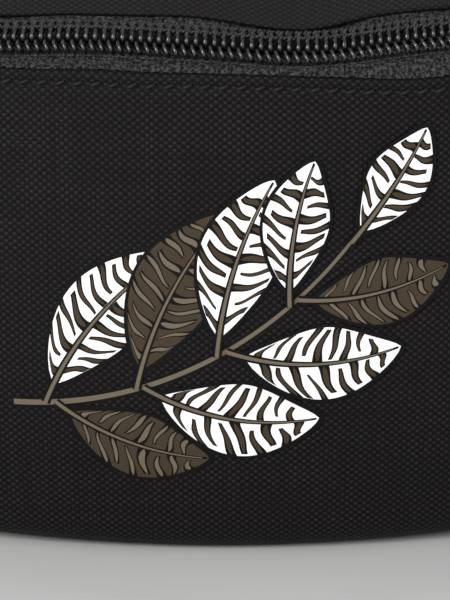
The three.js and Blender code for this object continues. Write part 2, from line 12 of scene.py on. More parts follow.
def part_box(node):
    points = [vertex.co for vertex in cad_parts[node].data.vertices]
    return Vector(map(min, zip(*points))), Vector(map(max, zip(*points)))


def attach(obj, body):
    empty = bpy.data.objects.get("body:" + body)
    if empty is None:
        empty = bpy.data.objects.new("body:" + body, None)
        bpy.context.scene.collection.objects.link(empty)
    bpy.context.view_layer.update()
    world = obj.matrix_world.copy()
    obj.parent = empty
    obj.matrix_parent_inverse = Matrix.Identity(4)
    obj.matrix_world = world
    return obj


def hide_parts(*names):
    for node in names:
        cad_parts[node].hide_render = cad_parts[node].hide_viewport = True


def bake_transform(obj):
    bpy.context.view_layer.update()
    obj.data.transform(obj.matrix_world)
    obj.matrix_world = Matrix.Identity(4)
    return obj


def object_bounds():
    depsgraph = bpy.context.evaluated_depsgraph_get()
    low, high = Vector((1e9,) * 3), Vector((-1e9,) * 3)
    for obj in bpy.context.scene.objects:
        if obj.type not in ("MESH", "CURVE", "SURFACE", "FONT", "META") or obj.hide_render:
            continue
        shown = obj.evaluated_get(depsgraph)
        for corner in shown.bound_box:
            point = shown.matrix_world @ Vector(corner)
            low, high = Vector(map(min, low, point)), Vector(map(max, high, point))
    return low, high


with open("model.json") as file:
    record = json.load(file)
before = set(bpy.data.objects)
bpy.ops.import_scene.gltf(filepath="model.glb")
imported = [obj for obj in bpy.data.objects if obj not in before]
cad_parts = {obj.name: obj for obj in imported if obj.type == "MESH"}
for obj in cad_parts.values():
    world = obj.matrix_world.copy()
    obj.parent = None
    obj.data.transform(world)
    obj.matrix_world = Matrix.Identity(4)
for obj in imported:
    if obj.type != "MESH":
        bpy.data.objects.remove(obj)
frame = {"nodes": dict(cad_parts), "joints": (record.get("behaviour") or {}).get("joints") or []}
cad_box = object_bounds()

# ---- front panel ---------------------------------------------------------------------------
# One piece of 600 denier plain-weave polyester backed with thin foam. It is sewn to the back
# at the piping, runs forward under the bag, turns a tight corner and rises to the zip, where
# its edge is folded under and topstitched.

MM = 0.001
joint_of = {joint["name"]: joint for joint in frame["joints"]}
panel_low, panel_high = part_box("front_panel")
AXIS_Y = joint_of["zip_travel"]["pos_m"][1]     # the front is round about this upright axis
FRONT_REACH = AXIS_Y - panel_low.y
BACK_REACH = AXIS_Y - panel_high.y
DEPTH = FRONT_REACH - BACK_REACH
ZIP_Z = panel_high.z
END_ANGLE = math.asin(panel_high.x / FRONT_REACH)
HALF_WIDTH = panel_high.x + 0.9 * MM            # where the back seams' curves run out
SEAM_RISE = 6 * MM                              # of the bottom seam over the bottom's edge
SEAM_TOP = 130 * MM                             # height of the top seam at the middle
CORNER = 7 * MM                                 # radius of the bottom corner
LEAN = 4.8 * MM                                 # how far the front is tucked in at the corner
LEAN_ANGLE = math.radians(14)
LEAN_TOP = 45 * MM
HEM_FOLD = 0.75 * MM                            # radius of the folded edge
HEM_DEPTH = 8 * MM
CLOTH = 0.45 * MM
TOPSTITCH_BELOW = 2.6 * MM
YARN_WIDE, YARN_TALL = 0.8 * MM, 0.65 * MM
YARN_ROUND = 0.65                               # below 1 the yarns are fuller than a sine
YARN_WANDER = 0.3 * MM                          # how far a yarn strays from its line
# Painted light on the shell cloth: the first colour is painted shade between the yarns, the second a
# painted highlight on their crowns.
SHELL_GAP_SHADE = (0.0034, 0.0026, 0.0029, 1)
SHELL_CROWN_HIGHLIGHT = (0.0208, 0.0190, 0.0200, 1)


def smooth(value, low, high):
    """0 below low, 1 above high, and a soft step between."""
    t = np.clip((value - low) / (high - low), 0, 1)
    return t * t * (3 - 2 * t)


def hump(value, at, width):
    """A smooth rise from 0 to 1 and back, over a width on both sides."""
    return np.exp(-((value - at) / width) ** 2)


def between(value, low, full, end, high):
    """1 from full to end, and 0 below low and above high."""
    return smooth(value, low, full) * (1 - smooth(value, end, high))


def bottom_edge(x):
    return 0.725 * x ** 2 + 1905 * x ** 6


def bottom_seam(x):
    return bottom_edge(x) + SEAM_RISE * (1 - (x / HALF_WIDTH) ** 2)


def top_seam(x):
    return SEAM_TOP - 6 * MM * (x / HALF_WIDTH) ** 2 - 8 * MM * (x / HALF_WIDTH) ** 8


def beside(seam, distance):
    """A line that keeps a distance outside a seam, wherever the seam climbs."""
    step = 0.5 * MM
    return lambda x: seam(x) + distance * np.hypot(1, (seam(x + step) - seam(x - step)) / (2 * step))


def points_of(*parts):
    """Points from their coordinates, each an array or one value for all."""
    return np.stack(np.broadcast_arrays(*parts), -1)


def round_bag(angle, reach, z):
    """Points at an angle round the bag, a reach from its axis and a height."""
    return points_of(reach * np.sin(angle), AXIS_Y - reach * np.cos(angle), z)


def ripple(u, v, seed):
    """Smooth noise from -1 to 1 over two coordinates, in waves about 1 long."""
    u, v = np.broadcast_arrays(u, v)
    flat = zip(np.ravel(u).tolist(), np.ravel(v).tolist())
    values = [noise.noise(Vector((a, b, 7.3 * seed))) for a, b in flat]
    return np.array(values).reshape(np.shape(u)) * 1.6


def panel_section():
    """The middle section from inside the hem, over the fold and down: the distance from the
    fold, the depth in front of the seam, the height, and the share of the seam's lift."""
    corner_in = DEPTH - LEAN - CORNER * math.cos(LEAN_ANGLE)
    corner_top = CORNER * (1 - math.sin(LEAN_ANGLE))
    points = [(DEPTH - 2 * HEM_FOLD, ZIP_Z - HEM_DEPTH, 0)]
    for a in np.linspace(math.pi, 0, 13):
        points.append((DEPTH - HEM_FOLD + HEM_FOLD * math.cos(a),
                       ZIP_Z - HEM_FOLD + HEM_FOLD * math.sin(a), 0))
    points.append((DEPTH, LEAN_TOP, 0))
    for z in np.linspace(LEAN_TOP, corner_top, 25)[1:]:
        tucked = ((LEAN_TOP - z) / (LEAN_TOP - corner_top)) ** 2
        points.append((DEPTH - LEAN * tucked, z, 0))
    for a in np.linspace(-LEAN_ANGLE, -math.pi / 2, 13)[1:]:
        points.append((corner_in + CORNER * math.cos(a), CORNER + CORNER * math.sin(a), 0))
    points.append((0, 0, 1))
    depth, height, lift = np.array(points).T
    steps = np.hypot(np.diff(depth), np.diff(height))
    distance = np.concatenate([[0], np.cumsum(steps)])
    return distance - distance[7], depth, height, lift


SECTION = panel_section()
PANEL_END = SECTION[0][-1]
UNDERSIDE = SECTION[0][-2]                      # distance at which the flat bottom begins


def panel_wave(u, d):
    """How far the cloth stands off its plain shape: soft waves that grow towards the ends,
    puckers along the back seam and the zip, and the groove of the topstitching."""
    ends = smooth(np.abs(u), 45 * MM, 110 * MM)
    broad = (0.22 + 0.75 * ends) * ripple(u / (42 * MM), d / (55 * MM), 1)
    folds = 0.9 * smooth(np.abs(u), 115 * MM, 165 * MM) * ripple(u / (13 * MM), d / (34 * MM), 2)
    seam = 0.8 * np.exp((d - PANEL_END) / (13 * MM)) * ripple(u / (8 * MM), d / (60 * MM), 3)
    edge = 0.22 * np.exp(-np.abs(d) / (7 * MM)) * ripple(u / (15 * MM), d / (30 * MM), 4)
    groove = -0.16 * hump(d, TOPSTITCH_BELOW, 0.55 * MM)
    return (broad + folds + seam + edge + groove) * MM


def panel_base(u, d):
    distance, depth, height, lift = SECTION
    angle = u / FRONT_REACH
    seam = BACK_REACH / np.cos(angle)
    reach = seam + (FRONT_REACH - seam) * np.interp(np.maximum(d, 0), distance, depth) / DEPTH
    reach = reach - np.interp(np.minimum(d, 0), distance, DEPTH - depth)
    x = reach * np.sin(angle)
    bottom = bottom_edge(x)
    rise = np.interp(d, distance, height) / ZIP_Z
    z = bottom + (ZIP_Z - bottom) * rise
    z = z + SEAM_RISE * (1 - (x / HALF_WIDTH) ** 2) * np.interp(d, distance, lift)
    sway = (0.65 * between(u, -90 * MM, -50 * MM, -8 * MM, 24 * MM)
            - 0.3 * between(u, -25 * MM, -12 * MM, 60 * MM, 90 * MM)
            - 0.8 * hump(u, 32 * MM, 12 * MM))
    z = z + sway * MM * smooth(rise, 0.7, 1)
    return round_bag(angle, reach, z)


def panel_normal(u, d):
    step = 0.2 * MM
    along = panel_base(u + step, d) - panel_base(u - step, d)
    down = panel_base(u, d + step) - panel_base(u, d - step)
    normal = np.cross(down, along)
    return normal / np.linalg.norm(normal, axis=-1, keepdims=True)


def panel_at(u, d, proud=0.0):
    """Points on the panel at arc length u round the front and distance d below the fold. The
    hem behind the fold moves with the cloth in front of it."""
    u, d = np.broadcast_arrays(np.asarray(u, float), np.asarray(d, float))
    front = np.maximum(d, 0)
    moved = panel_normal(u, front) * panel_wave(u, front)[..., None]
    return panel_base(u, d) + moved + panel_normal(u, d) * np.asarray(proud)[..., None]


def panel_uv(u, d):
    """The same points on the flat cloth, in metres, so that the weave keeps its size."""
    angle = u / FRONT_REACH
    seam = BACK_REACH / np.cos(angle)
    reach = seam + (FRONT_REACH - seam) * np.interp(d, SECTION[0], SECTION[1]) / DEPTH
    tall = 1 - bottom_edge(FRONT_REACH * np.sin(angle)) / ZIP_Z
    deep = (FRONT_REACH - seam) / DEPTH
    fall = np.minimum(d, UNDERSIDE) * tall + np.maximum(d - UNDERSIDE, 0) * deep
    return points_of(reach * angle, -fall)


def new_piece(name, mesh, body, slot, *stands_for):
    """A finished mesh as an object that moves with its body, in place of the frame nodes that it
    stands for. The slot is not used.
    """
    mesh.name = name
    piece = bpy.data.objects.new(name, mesh)
    bpy.context.scene.collection.objects.link(piece)
    if body:
        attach(piece, body)
    if stands_for:
        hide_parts(*stands_for)
    return piece


def thicken(sheet, depth, offset=-1):
    """Gives a sheet its thickness: behind its face, or with an offset of 0 on both sides."""
    wall = sheet.modifiers.new("thickness", "SOLIDIFY")
    wall.thickness = depth
    wall.offset = offset


def grid_mesh(points, uvs, *materials, ring=False, caps=False):
    """A quad mesh over a grid of points. A ring joins its last column to its first, and its
    uvs have one column more. Caps close the two ends of a tube."""
    rows, columns = points.shape[:2]
    wide = columns + 1 if ring else columns
    i, j = np.meshgrid(np.arange(rows - 1), np.arange(wide - 1), indexing="ij")
    square = [(i, j), (i, j + 1), (i + 1, j + 1), (i + 1, j)]
    corners = np.stack([a * columns + b % columns for a, b in square], -1).reshape(-1, 4)
    uv_index = np.stack([a * wide + b for a, b in square], -1).reshape(-1)
    faces = corners.tolist()
    if caps:
        faces += [list(range(columns))[::-1], list(range((rows - 1) * columns, rows * columns))]
    mesh = bpy.data.meshes.new("grid")
    mesh.from_pydata(points.reshape(-1, 3).tolist(), [], faces)
    layer = mesh.uv_layers.new(name="cloth")
    flat = uvs.reshape(-1, 2)
    coords = flat[uv_index]
    if caps:
        ends = np.concatenate([np.arange(columns)[::-1], (rows - 1) * wide + np.arange(columns)])
        coords = np.concatenate([coords, flat[ends]])
    layer.data.foreach_set("uv", coords.astype(np.float32).ravel())
    for material in materials:
        mesh.materials.append(material)
    mesh.shade_smooth()
    return mesh


def feed(tree, node, inputs):
    """Sets a node's inputs, each to a value or from the socket that feeds it."""
    for socket, value in inputs.items():
        if isinstance(value, bpy.types.NodeSocket):
            tree.links.new(value, node.inputs[socket])
        else:
            node.inputs[socket].default_value = value


def put(tree, kind, inputs=(), **settings):
    """Adds a node with its settings and its inputs."""
    node = tree.nodes.new(kind)
    for name, value in settings.items():
        setattr(node, name, value)
    feed(tree, node, dict(inputs))
    return node


def calc(tree, operation, *values):
    """The result of a Math node."""
    return put(tree, "ShaderNodeMath", dict(enumerate(values)), operation=operation).outputs[0]


def remap(tree, value, low, high, to_low=0.0, to_high=1.0):
    """The result of a smooth Map Range node."""
    inputs = {"Value": value, "From Min": low, "From Max": high,
              "To Min": to_low, "To Max": to_high}
    return put(tree, "ShaderNodeMapRange", inputs, interpolation_type="SMOOTHSTEP").outputs[0]


def blend_colours(tree, factor, first, second):
    mix = put(tree, "ShaderNodeMix", {0: factor, 6: first, 7: second}, data_type="RGBA")
    return mix.outputs[2]


def speckle(tree, vector, scale, detail=2.0, rough=0.5):
    """A grey noise from 0 to 1 over a vector."""
    inputs = {"Vector": vector, "Scale": scale, "Detail": detail, "Roughness": rough}
    return put(tree, "ShaderNodeTexNoise", inputs).outputs["Fac"]


def times(tree, *values):
    return calc(tree, "MULTIPLY", *values)


def plus(tree, *values):
    return calc(tree, "ADD", *values)


def vector_calc(tree, operation, inputs):
    return put(tree, "ShaderNodeVectorMath", inputs, operation=operation).outputs[0]


def vector_of_parts(tree, *parts):
    return put(tree, "ShaderNodeCombineXYZ", dict(enumerate(parts))).outputs[0]


def parts_of_vector(tree, vector):
    return put(tree, "ShaderNodeSeparateXYZ", {0: vector}).outputs


def plain_weave_group():
    """Over-and-under yarns: the relief, a mask of the crowns of the upright yarns, where the cloth's
    colour paints a highlight, and the slight difference in shade from yarn to yarn."""
    tree = bpy.data.node_groups.new("plain weave", "ShaderNodeTree")
    tree.interface.new_socket("Vector", in_out="INPUT", socket_type="NodeSocketVector")
    for socket, size in [("Yarn width", YARN_WIDE), ("Yarn height", YARN_TALL)]:
        made = tree.interface.new_socket(socket, in_out="INPUT", socket_type="NodeSocketFloat")
        made.default_value = size
    for socket in ("Height", "Crown", "Shade"):
        tree.interface.new_socket(socket, in_out="OUTPUT", socket_type="NodeSocketFloat")
    cloth, wide, tall = tree.nodes.new("NodeGroupInput").outputs[:3]
    wander = put(tree, "ShaderNodeTexNoise", {"Vector": cloth, "Scale": 420.0, "Detail": 1.0})
    shift = vector_calc(tree, "SUBTRACT", {0: wander.outputs["Color"], 1: (0.5, 0.5, 0.5)})
    shift = vector_calc(tree, "SCALE", {0: shift, "Scale": YARN_WANDER})
    moved = parts_of_vector(tree, vector_calc(tree, "ADD", {0: cloth, 1: shift}))
    across, up = calc(tree, "DIVIDE", moved[0], wide), calc(tree, "DIVIDE", moved[1], tall)
    checker = times(tree, calc(tree, "COSINE", times(tree, across, math.pi)),
                    calc(tree, "COSINE", times(tree, up, math.pi)))
    warp = calc(tree, "POWER", calc(tree, "MAXIMUM", checker, 0.0), YARN_ROUND)
    weft = calc(tree, "POWER", calc(tree, "MAXIMUM", times(tree, checker, -1.0), 0.0), YARN_ROUND)
    fibres = put(tree, "ShaderNodeMapping", {"Vector": cloth, "Scale": (14.0, 2.0, 1.0)})
    fibre = speckle(tree, fibres.outputs[0], 900.0)
    relief = plus(tree, plus(tree, warp, times(tree, weft, 0.7)), times(tree, fibre, 0.16))
    long_way = vector_of_parts(tree, across, times(tree, up, 0.02))
    short_way = vector_of_parts(tree, times(tree, across, 0.02), up, 4.0)
    shade = plus(tree, speckle(tree, long_way, 1.1), speckle(tree, short_way, 1.1))
    feed(tree, tree.nodes.new("NodeGroupOutput"), {
        0: relief, 1: remap(tree, checker, -0.25, 0.95), 2: times(tree, shade, 0.5)})
    return tree


def new_material(name):
    """A material with its tree and its Principled node."""
    material = bpy.data.materials.new(name)
    material.use_nodes = True
    return material, material.node_tree, material.node_tree.nodes["Principled BSDF"]


def flat_cloth_vector(tree):
    """Where a point lies on the flat cloth, in metres."""
    return put(tree, "ShaderNodeUVMap", uv_map="cloth").outputs[0]


def dress(tree, surface, colour, roughness, specular, height, strength, depth, **others):
    """Feeds a surface its colour, its gloss and a relief of some strength and depth."""
    bump = put(tree, "ShaderNodeBump", {"Strength": strength, "Distance": depth,
                                        "Height": height})
    feed(tree, surface, {"Base Color": colour, "Roughness": roughness,
                         "Specular IOR Level": specular, "Normal": bump.outputs[0], **others})


def woven_cloth(name, vector_of, shade, crown, roughness, yarn=(YARN_WIDE, YARN_TALL)):
    """Plain-weave cloth: painted shade between the yarns, a painted highlight on their crowns, and a
    dusty mottle.
    """
    material, tree, surface = new_material(name)
    vector = vector_of(tree)
    weave = put(tree, "ShaderNodeGroup", {"Vector": vector, "Yarn width": yarn[0],
                                          "Yarn height": yarn[1]}, node_tree=WEAVE).outputs
    # The crowns take the paler colour, a painted highlight, and the gaps the darker one, painted
    # shade.
    lit = times(tree, weave["Crown"], remap(tree, weave["Shade"], 0.3, 0.7, 0.55, 1.1))
    lit = times(tree, lit, remap(tree, speckle(tree, vector, 60.0, 3.0), 0.25, 0.75, 0.8, 1.1))
    dress(tree, surface, blend_colours(tree, lit, shade, crown),
          remap(tree, weave["Shade"], 0.2, 0.8, roughness + 0.06, roughness - 0.06), 0.08,
          weave["Height"], 0.55, 0.14 * MM, **{"Sheen Weight": 0.01, "Sheen Roughness": 0.5})
    return material


WEAVE = plain_weave_group()
shell_cloth = woven_cloth("shell polyester", flat_cloth_vector, SHELL_GAP_SHADE, SHELL_CROWN_HIGHLIGHT, 0.62)

panel_rows = np.concatenate([
    [SECTION[0][0], SECTION[0][0] / 2],
    np.linspace(-1.3, 1.3, 11) * MM,
    np.arange(1.8, 5, 0.4) * MM,
    np.linspace(5 * MM, PANEL_END, 96)])
panel_columns = np.linspace(-END_ANGLE, END_ANGLE, 232) * FRONT_REACH
panel_u, panel_d = np.meshgrid(panel_columns, panel_rows)
panel_mesh = grid_mesh(panel_at(panel_u, panel_d), panel_uv(panel_u, panel_d), shell_cloth)
panel_mesh.flip_normals()
front_cloth = new_piece("front_cloth", panel_mesh, "bag", "shell_fabric", "front_panel")
thicken(front_cloth, CLOTH)

# ---- topstitching of the panel -------------------------------------------------------------
# A row of black polyester lockstitch along the folded edge, which holds the hem and the zip
# tape behind it. Each stitch lies aslant, and dives at both ends into a needle hole; the holes are
# sunk near-black marks, painted shadow.

STITCH_PITCH = 3.2 * MM
STITCH_LONG = 2.5 * MM
THREAD = 0.5 * MM
LAID = 1.9 * MM                                 # length of a topstitch in sight
SLANT = 0.8 * MM                                # it climbs this far along its length
LAID_RADIUS = 0.35 * MM
HOLE_RADIUS = 0.3 * MM
HOLE_SUNK = 0.16 * MM


def line_tree(name, inputs, shaped):
    """A Geometry Nodes tree over a mesh of lines. shaped adds the nodes of its own, and the
    tree ends in one real, smooth mesh with its finish."""
    tree = bpy.data.node_groups.new(name, "GeometryNodeTree")
    tree.is_modifier = True
    for socket, kind in [("Line", "Geometry"), *inputs, ("Finish", "Material")]:
        tree.interface.new_socket(socket, in_out="INPUT", socket_type=f"NodeSocket{kind}")
    tree.interface.new_socket("Mesh", in_out="OUTPUT", socket_type="NodeSocketGeometry")
    given = tree.nodes.new("NodeGroupInput").outputs
    line = put(tree, "GeometryNodeMeshToCurve", {0: given["Line"]}).outputs[0]
    real = put(tree, "GeometryNodeRealizeInstances", {0: shaped(tree, given, line)})
    soft = put(tree, "GeometryNodeSetShadeSmooth", {"Geometry": real.outputs[0]})
    done = put(tree, "GeometryNodeSetMaterial", {"Geometry": soft.outputs[0],
                                                 "Material": given["Finish"]})
    feed(tree, tree.nodes.new("NodeGroupOutput"), {0: done.outputs[0]})
    return tree


def stitches(tree, given, line):
    """Short, plump stitches of thread set out along a seam line."""
    spots = put(tree, "GeometryNodeCurveToPoints", {"Curve": line, "Length": given["Pitch"]},
                mode="LENGTH").outputs
    bead = put(tree, "GeometryNodeMeshUVSphere", {"Segments": 6, "Rings": 6, "Radius": 0.5})
    shape = vector_of_parts(tree, given["Thread"], given["Thread"], given["Stitch"])
    return put(tree, "GeometryNodeInstanceOnPoints", {
        "Points": spots["Points"], "Instance": bead.outputs[0],
        "Rotation": spots["Rotation"], "Scale": shape}).outputs[0]


def round_wire(tree, given, line):
    """Round wire along a line, thicker where the line's thick attribute says so."""
    thick = put(tree, "GeometryNodeInputNamedAttribute", {"Name": "thick"}, data_type="FLOAT")
    sized = put(tree, "GeometryNodeSetCurveRadius", {"Curve": line, "Radius": thick.outputs[0]})
    section = put(tree, "GeometryNodeCurvePrimitiveCircle", {"Resolution": given["Sides"],
                                                             "Radius": given["Radius"]})
    wire = put(tree, "GeometryNodeCurveToMesh", {"Curve": sized.outputs[0],
                                                 "Profile Curve": section.outputs[0],
                                                 "Fill Caps": True})
    if "Scale" in wire.inputs:
        feed(tree, wire, {"Scale": thick.outputs[0]})
    return wire.outputs[0]


def grown(source, tree, **values):
    """The plain mesh that a node tree makes from a source mesh."""
    holder = bpy.data.objects.new("lines", source)
    bpy.context.scene.collection.objects.link(holder)
    modifier = holder.modifiers.new("grow", "NODES")
    modifier.node_group = tree
    for item in tree.interface.items_tree:
        if item.item_type == "SOCKET" and item.name in values:
            modifier[item.identifier] = values[item.name]
    found = holder.evaluated_get(bpy.context.evaluated_depsgraph_get())
    mesh = bpy.data.meshes.new_from_object(found)
    bpy.data.objects.remove(holder)
    return mesh


def line_mesh(points):
    """One mesh of open lines through lists of points."""
    mesh = bpy.data.meshes.new("line")
    places, edges = [], []
    for line in points:
        start = len(places)
        places += np.asarray(line).tolist()
        edges += [(k, k + 1) for k in range(start, len(places) - 1)]
    mesh.from_pydata(places, edges, [])
    return mesh


def grained(name, mottle, dark, light, roughness, specular, grain, strength, depth,
            reach=None, **others):
    """A material with a mottled tone and a fine grain. mottle and grain are the scale, detail
    and roughness of a noise, and reach sharpens the mottle between two levels. roughness is
    one value, or two levels of the mottle and the values that they stand for."""
    material, tree, surface = new_material(name)
    place = put(tree, "ShaderNodeTexCoord").outputs["Object"]
    tone = speckle(tree, place, *mottle)
    if reach:
        tone = remap(tree, tone, *reach)
    if isinstance(roughness, tuple):
        roughness = remap(tree, tone, *roughness)
    dress(tree, surface, blend_colours(tree, tone, dark, light), roughness, specular,
          speckle(tree, place, *grain), strength, depth, **others)
    return material


THREAD_TREE = line_tree("stitches along a seam", [
    ("Pitch", "Float"), ("Stitch", "Float"), ("Thread", "Float")], stitches)
WIRE_TREE = line_tree("wire along a line", [("Radius", "Float"), ("Sides", "Int")], round_wire)
# Twisted thread: fine slanting plies and a low gloss.
black_thread = grained("black thread", (2600.0,), (0.006, 0.0057, 0.0059, 1),
                       (0.019, 0.0186, 0.019, 1), 0.55, 0.15, (5200.0, 1.0), 0.4, 0.05 * MM)


def stitched(name, lines, body="bag", slot="shell_fabric", pitch=STITCH_PITCH,
             stitch=STITCH_LONG, thread=THREAD, finish=black_thread):
    mesh = grown(line_mesh(lines), THREAD_TREE, Pitch=pitch, Stitch=stitch, Thread=thread,
                 Finish=finish)
    return new_piece(name, mesh, body, slot)


def wire(lines, radius, sides, finish, profile=1.0):
    """Wires along lines. The profile is how thick they are at their points, beside the radius."""
    mesh = line_mesh(lines)
    thick = np.concatenate([np.broadcast_to(profile, len(line)) for line in lines])
    mesh.attributes.new("thick", "FLOAT", "POINT").data.foreach_set(
        "value", thick.astype(np.float32))
    return grown(mesh, WIRE_TREE, Radius=radius, Sides=sides, Finish=finish)


# Near black with no gloss: painted shadow, for the needle holes and the gap behind the hem.
painted_shadow, hole_tree, hole_surface = new_material("painted shadow of holes and gaps")
feed(hole_tree, hole_surface, {"Base Color": (0.001, 0.001, 0.001, 1), "Roughness": 1.0,
                               "Specular IOR Level": 0.0})
hem_run = np.arange(-END_ANGLE * FRONT_REACH, END_ANGLE * FRONT_REACH, MM / 2)
along = np.linspace(-0.5, 0.5, 9)
starts = np.arange(hem_run[0], hem_run[-1], STITCH_PITCH)
laid = [panel_at(start + LAID * along, TOPSTITCH_BELOW - SLANT * along,
                 (0.3 - 2.4 * along ** 2) * MM) for start in starts]
new_piece("front_topstitch", wire(laid, LAID_RADIUS, 8, black_thread, 1 - 0.8 * along ** 2),
          "bag", "shell_fabric")
# Needle holes as sunk near-black marks: painted shadow.
holes = [panel_at(start + LAID * (0.53 + 0.2 * along), TOPSTITCH_BELOW - SLANT * (0.6 + 0.1 * along),
                  -HOLE_SUNK) for start in starts]
new_piece("front_needle_hole_shadows", wire(holes, HOLE_RADIUS, 6, painted_shadow, 1 - 2.4 * along ** 2),
          "bag", "shell_fabric")

# ---- printed leaves ------------------------------------------------------------------------
# A spray of long striped leaves, screen printed on the front: a black outline, a white or
# brown blade, stripes along its veins, and a tan rib. The ink is a thin film on the yarns.

INK_FILM = 0.03 * MM
INK_STEP = 0.012 * MM                           # each colour lies on the one before
LEAF_STEP = 0.06 * MM                           # each leaf lies on the one before
OUTLINE = 0.55 * MM
STALK = 0.1                                     # share of a leaf that is its stalk
BRANCH_FOOT = (-34 * MM, 61 * MM)               # as u and d
BRANCH_LONG = 66 * MM
# place on the branch, turn from it, length, bend, half width, blade and stripe
LEAVES = [
    (0.02, -62, 38, 34, 7.6, "white", "brown"),
    (0.05, 44, 30, -34, 6.6, "brown", "tan"),
    (0.28, -60, 37, 30, 7.8, "brown", "tan"),
    (0.30, 50, 33, -40, 7.4, "white", "brown"),
    (0.52, -56, 34, 26, 7.4, "white", "brown"),
    (0.55, 50, 32, -38, 7.2, "white", "brown"),
    (0.76, -52, 27, 24, 6.2, "white", "brown"),
    (0.79, 48, 28, -34, 6.4, "brown", "tan"),
    (1.00, 2, 25, -16, 5.8, "white", "brown"),
]
INKS = {
    "black": (0.0030, 0.0028, 0.0028, 1),
    "white": (0.86, 0.855, 0.845, 1),
    "brown": (0.048, 0.034, 0.020, 1),
    "tan": (0.135, 0.108, 0.075, 1),
}


def ink_material(name, colour):
    """Matt ink, with the weave showing faintly through its film. Its colour dims in a random mottle,
    and between the yarns as painted shade, so that the crowns keep the full colour as a painted
    highlight.
    """
    material, tree, surface = new_material(f"{name} ink")
    vector = flat_cloth_vector(tree)
    weave = put(tree, "ShaderNodeGroup", {"Vector": vector}, node_tree=WEAVE).outputs
    # The dimmer colour is both a random mottle in the ink and painted shade between the yarns.
    mottle_and_gap_shade = tuple(0.93 * c for c in colour[:3]) + (1,)
    mottle_and_crowns = plus(tree, times(tree, speckle(tree, vector, 260.0, 3.0), 0.6),
                  times(tree, weave["Crown"], 0.4))
    dress(tree, surface, blend_colours(tree, mottle_and_crowns, mottle_and_gap_shade, colour), 0.6, 0.12,
          weave["Height"], 0.16, 0.1 * MM)
    return material


ink_names = list(INKS)
ink_patches = []                                # (points, uvs, ink)


def ink(colour, level, place):
    """A patch of one ink over a grid of places on the panel, given as u and d."""
    points = panel_at(*place, INK_FILM + level)
    ink_patches.append((points, panel_uv(*place), ink_names.index(colour)))


def grid(first, last, left, right, rows, columns):
    return np.meshgrid(np.linspace(first, last, rows), np.linspace(left, right, columns),
                       indexing="ij")


def bowed(foot, heading, length, bend):
    """A line that bends evenly, as a function of the share s along it and an offset beside
    it, giving u and d. Its heading is in degrees clockwise from straight up."""
    turn, curl = math.radians(heading), math.radians(bend)

    def beside_line(s, offset=0.0):
        angle = turn + curl * s
        along = length * (math.cos(turn) - np.cos(angle)) / curl + offset * np.cos(angle)
        up = length * (np.sin(angle) - math.sin(turn)) / curl - offset * np.sin(angle)
        return foot[0] + along, foot[1] - up
    return beside_line


def printed_leaf(order, foot, heading, length, bend, width, blade, stripe, count, draw):
    """A leaf on a bowed rib: outline, blade, tapered stripes on both halves, rib and stalk.
    Along the rib s is 0 where the blade begins and 1 at its tip; w is -1 and 1 at its edges."""
    level = order * LEAF_STEP
    beside_rib = bowed(foot, heading, length, bend)

    def on_blade(s, w, margin=0.0):
        full = np.sin(math.pi * np.clip(s, 0, 1) ** 0.85) ** 0.7 * (1.05 - 0.25 * s)
        half = width * full
        swept = s + 0.9 * np.abs(w) ** 1.4 * half / length * (1 - s)
        stretched = (swept - 0.5) * (1 + 3.0 * margin / length) + 0.5
        return beside_rib(STALK + (1 - STALK) * stretched, w * (half + margin))

    ink("black", level, on_blade(*grid(0, 1, -1, 1, 44, 13), OUTLINE))
    ink(blade, level + INK_STEP, on_blade(*grid(0, 1, -1, 1, 44, 13)))
    for side in (-1, 1):
        for k in range(count):
            middle = 0.05 + 0.84 * (k + 0.5 + 0.22 * side) / count
            thick = (0.25 + 0.17 * draw.random()) * 0.84 / count
            inner = 0.07 + 0.22 * draw.random() * (k % 2)
            outer = 1.0 - 0.2 * draw.random() * ((k + 1) % 2)
            across, w = grid(-1, 1, inner, outer, 5, 11)
            far = (w - inner) / (outer - inner)
            heavy = 0.35 + 0.65 * (far if k % 2 else 1 - 0.6 * far)
            wavy = middle + 0.012 * np.sin(6 * w + 9 * draw.random())
            inside = np.clip(np.sin(math.pi * far), 0, 1) ** 0.5
            for colour, layer, fill in [("black", 2, 1.0), (stripe, 3, 0.6 * inside)]:
                ink(colour, level + layer * INK_STEP,
                    on_blade(wavy + fill * across * thick * heavy, side * w))
    s, side = grid(0, 0.985, -1, 1, 40, 3)
    narrow = 1.1 - 0.85 * s
    ink("black", level + 4 * INK_STEP, beside_rib(s, 0.75 * MM * narrow * side))
    ink("tan", level + 5 * INK_STEP, beside_rib(0.97 * s, 0.33 * MM * narrow * side))


def patch_mesh(patches, materials):
    """One mesh of several grids, each with its own material."""
    places, faces, coords, chosen = [], [], [], []
    count = 0
    for points, uvs, index in patches:
        rows, columns = points.shape[:2]
        i, j = np.meshgrid(np.arange(rows - 1), np.arange(columns - 1), indexing="ij")
        corner = (i * columns + j).ravel()
        square = np.stack([corner, corner + 1, corner + columns + 1, corner + columns], -1)
        ahead = np.cross(points[1:, :-1] - points[:-1, :-1], points[:-1, 1:] - points[:-1, :-1])
        if ahead[..., 1].sum() < 0:
            square = square[:, ::-1]
        places.append(points.reshape(-1, 3))
        faces += (square + count).tolist()
        coords.append(uvs.reshape(-1, 2)[square.ravel()])
        chosen += [index] * len(square)
        count += rows * columns
    mesh = bpy.data.meshes.new("patches")
    mesh.from_pydata(np.concatenate(places).tolist(), [], faces)
    layer = mesh.uv_layers.new(name="cloth")
    layer.data.foreach_set("uv", np.concatenate(coords).astype(np.float32).ravel())
    for material in materials:
        mesh.materials.append(material)
    mesh.polygons.foreach_set("material_index", chosen)
    mesh.shade_smooth()
    return mesh


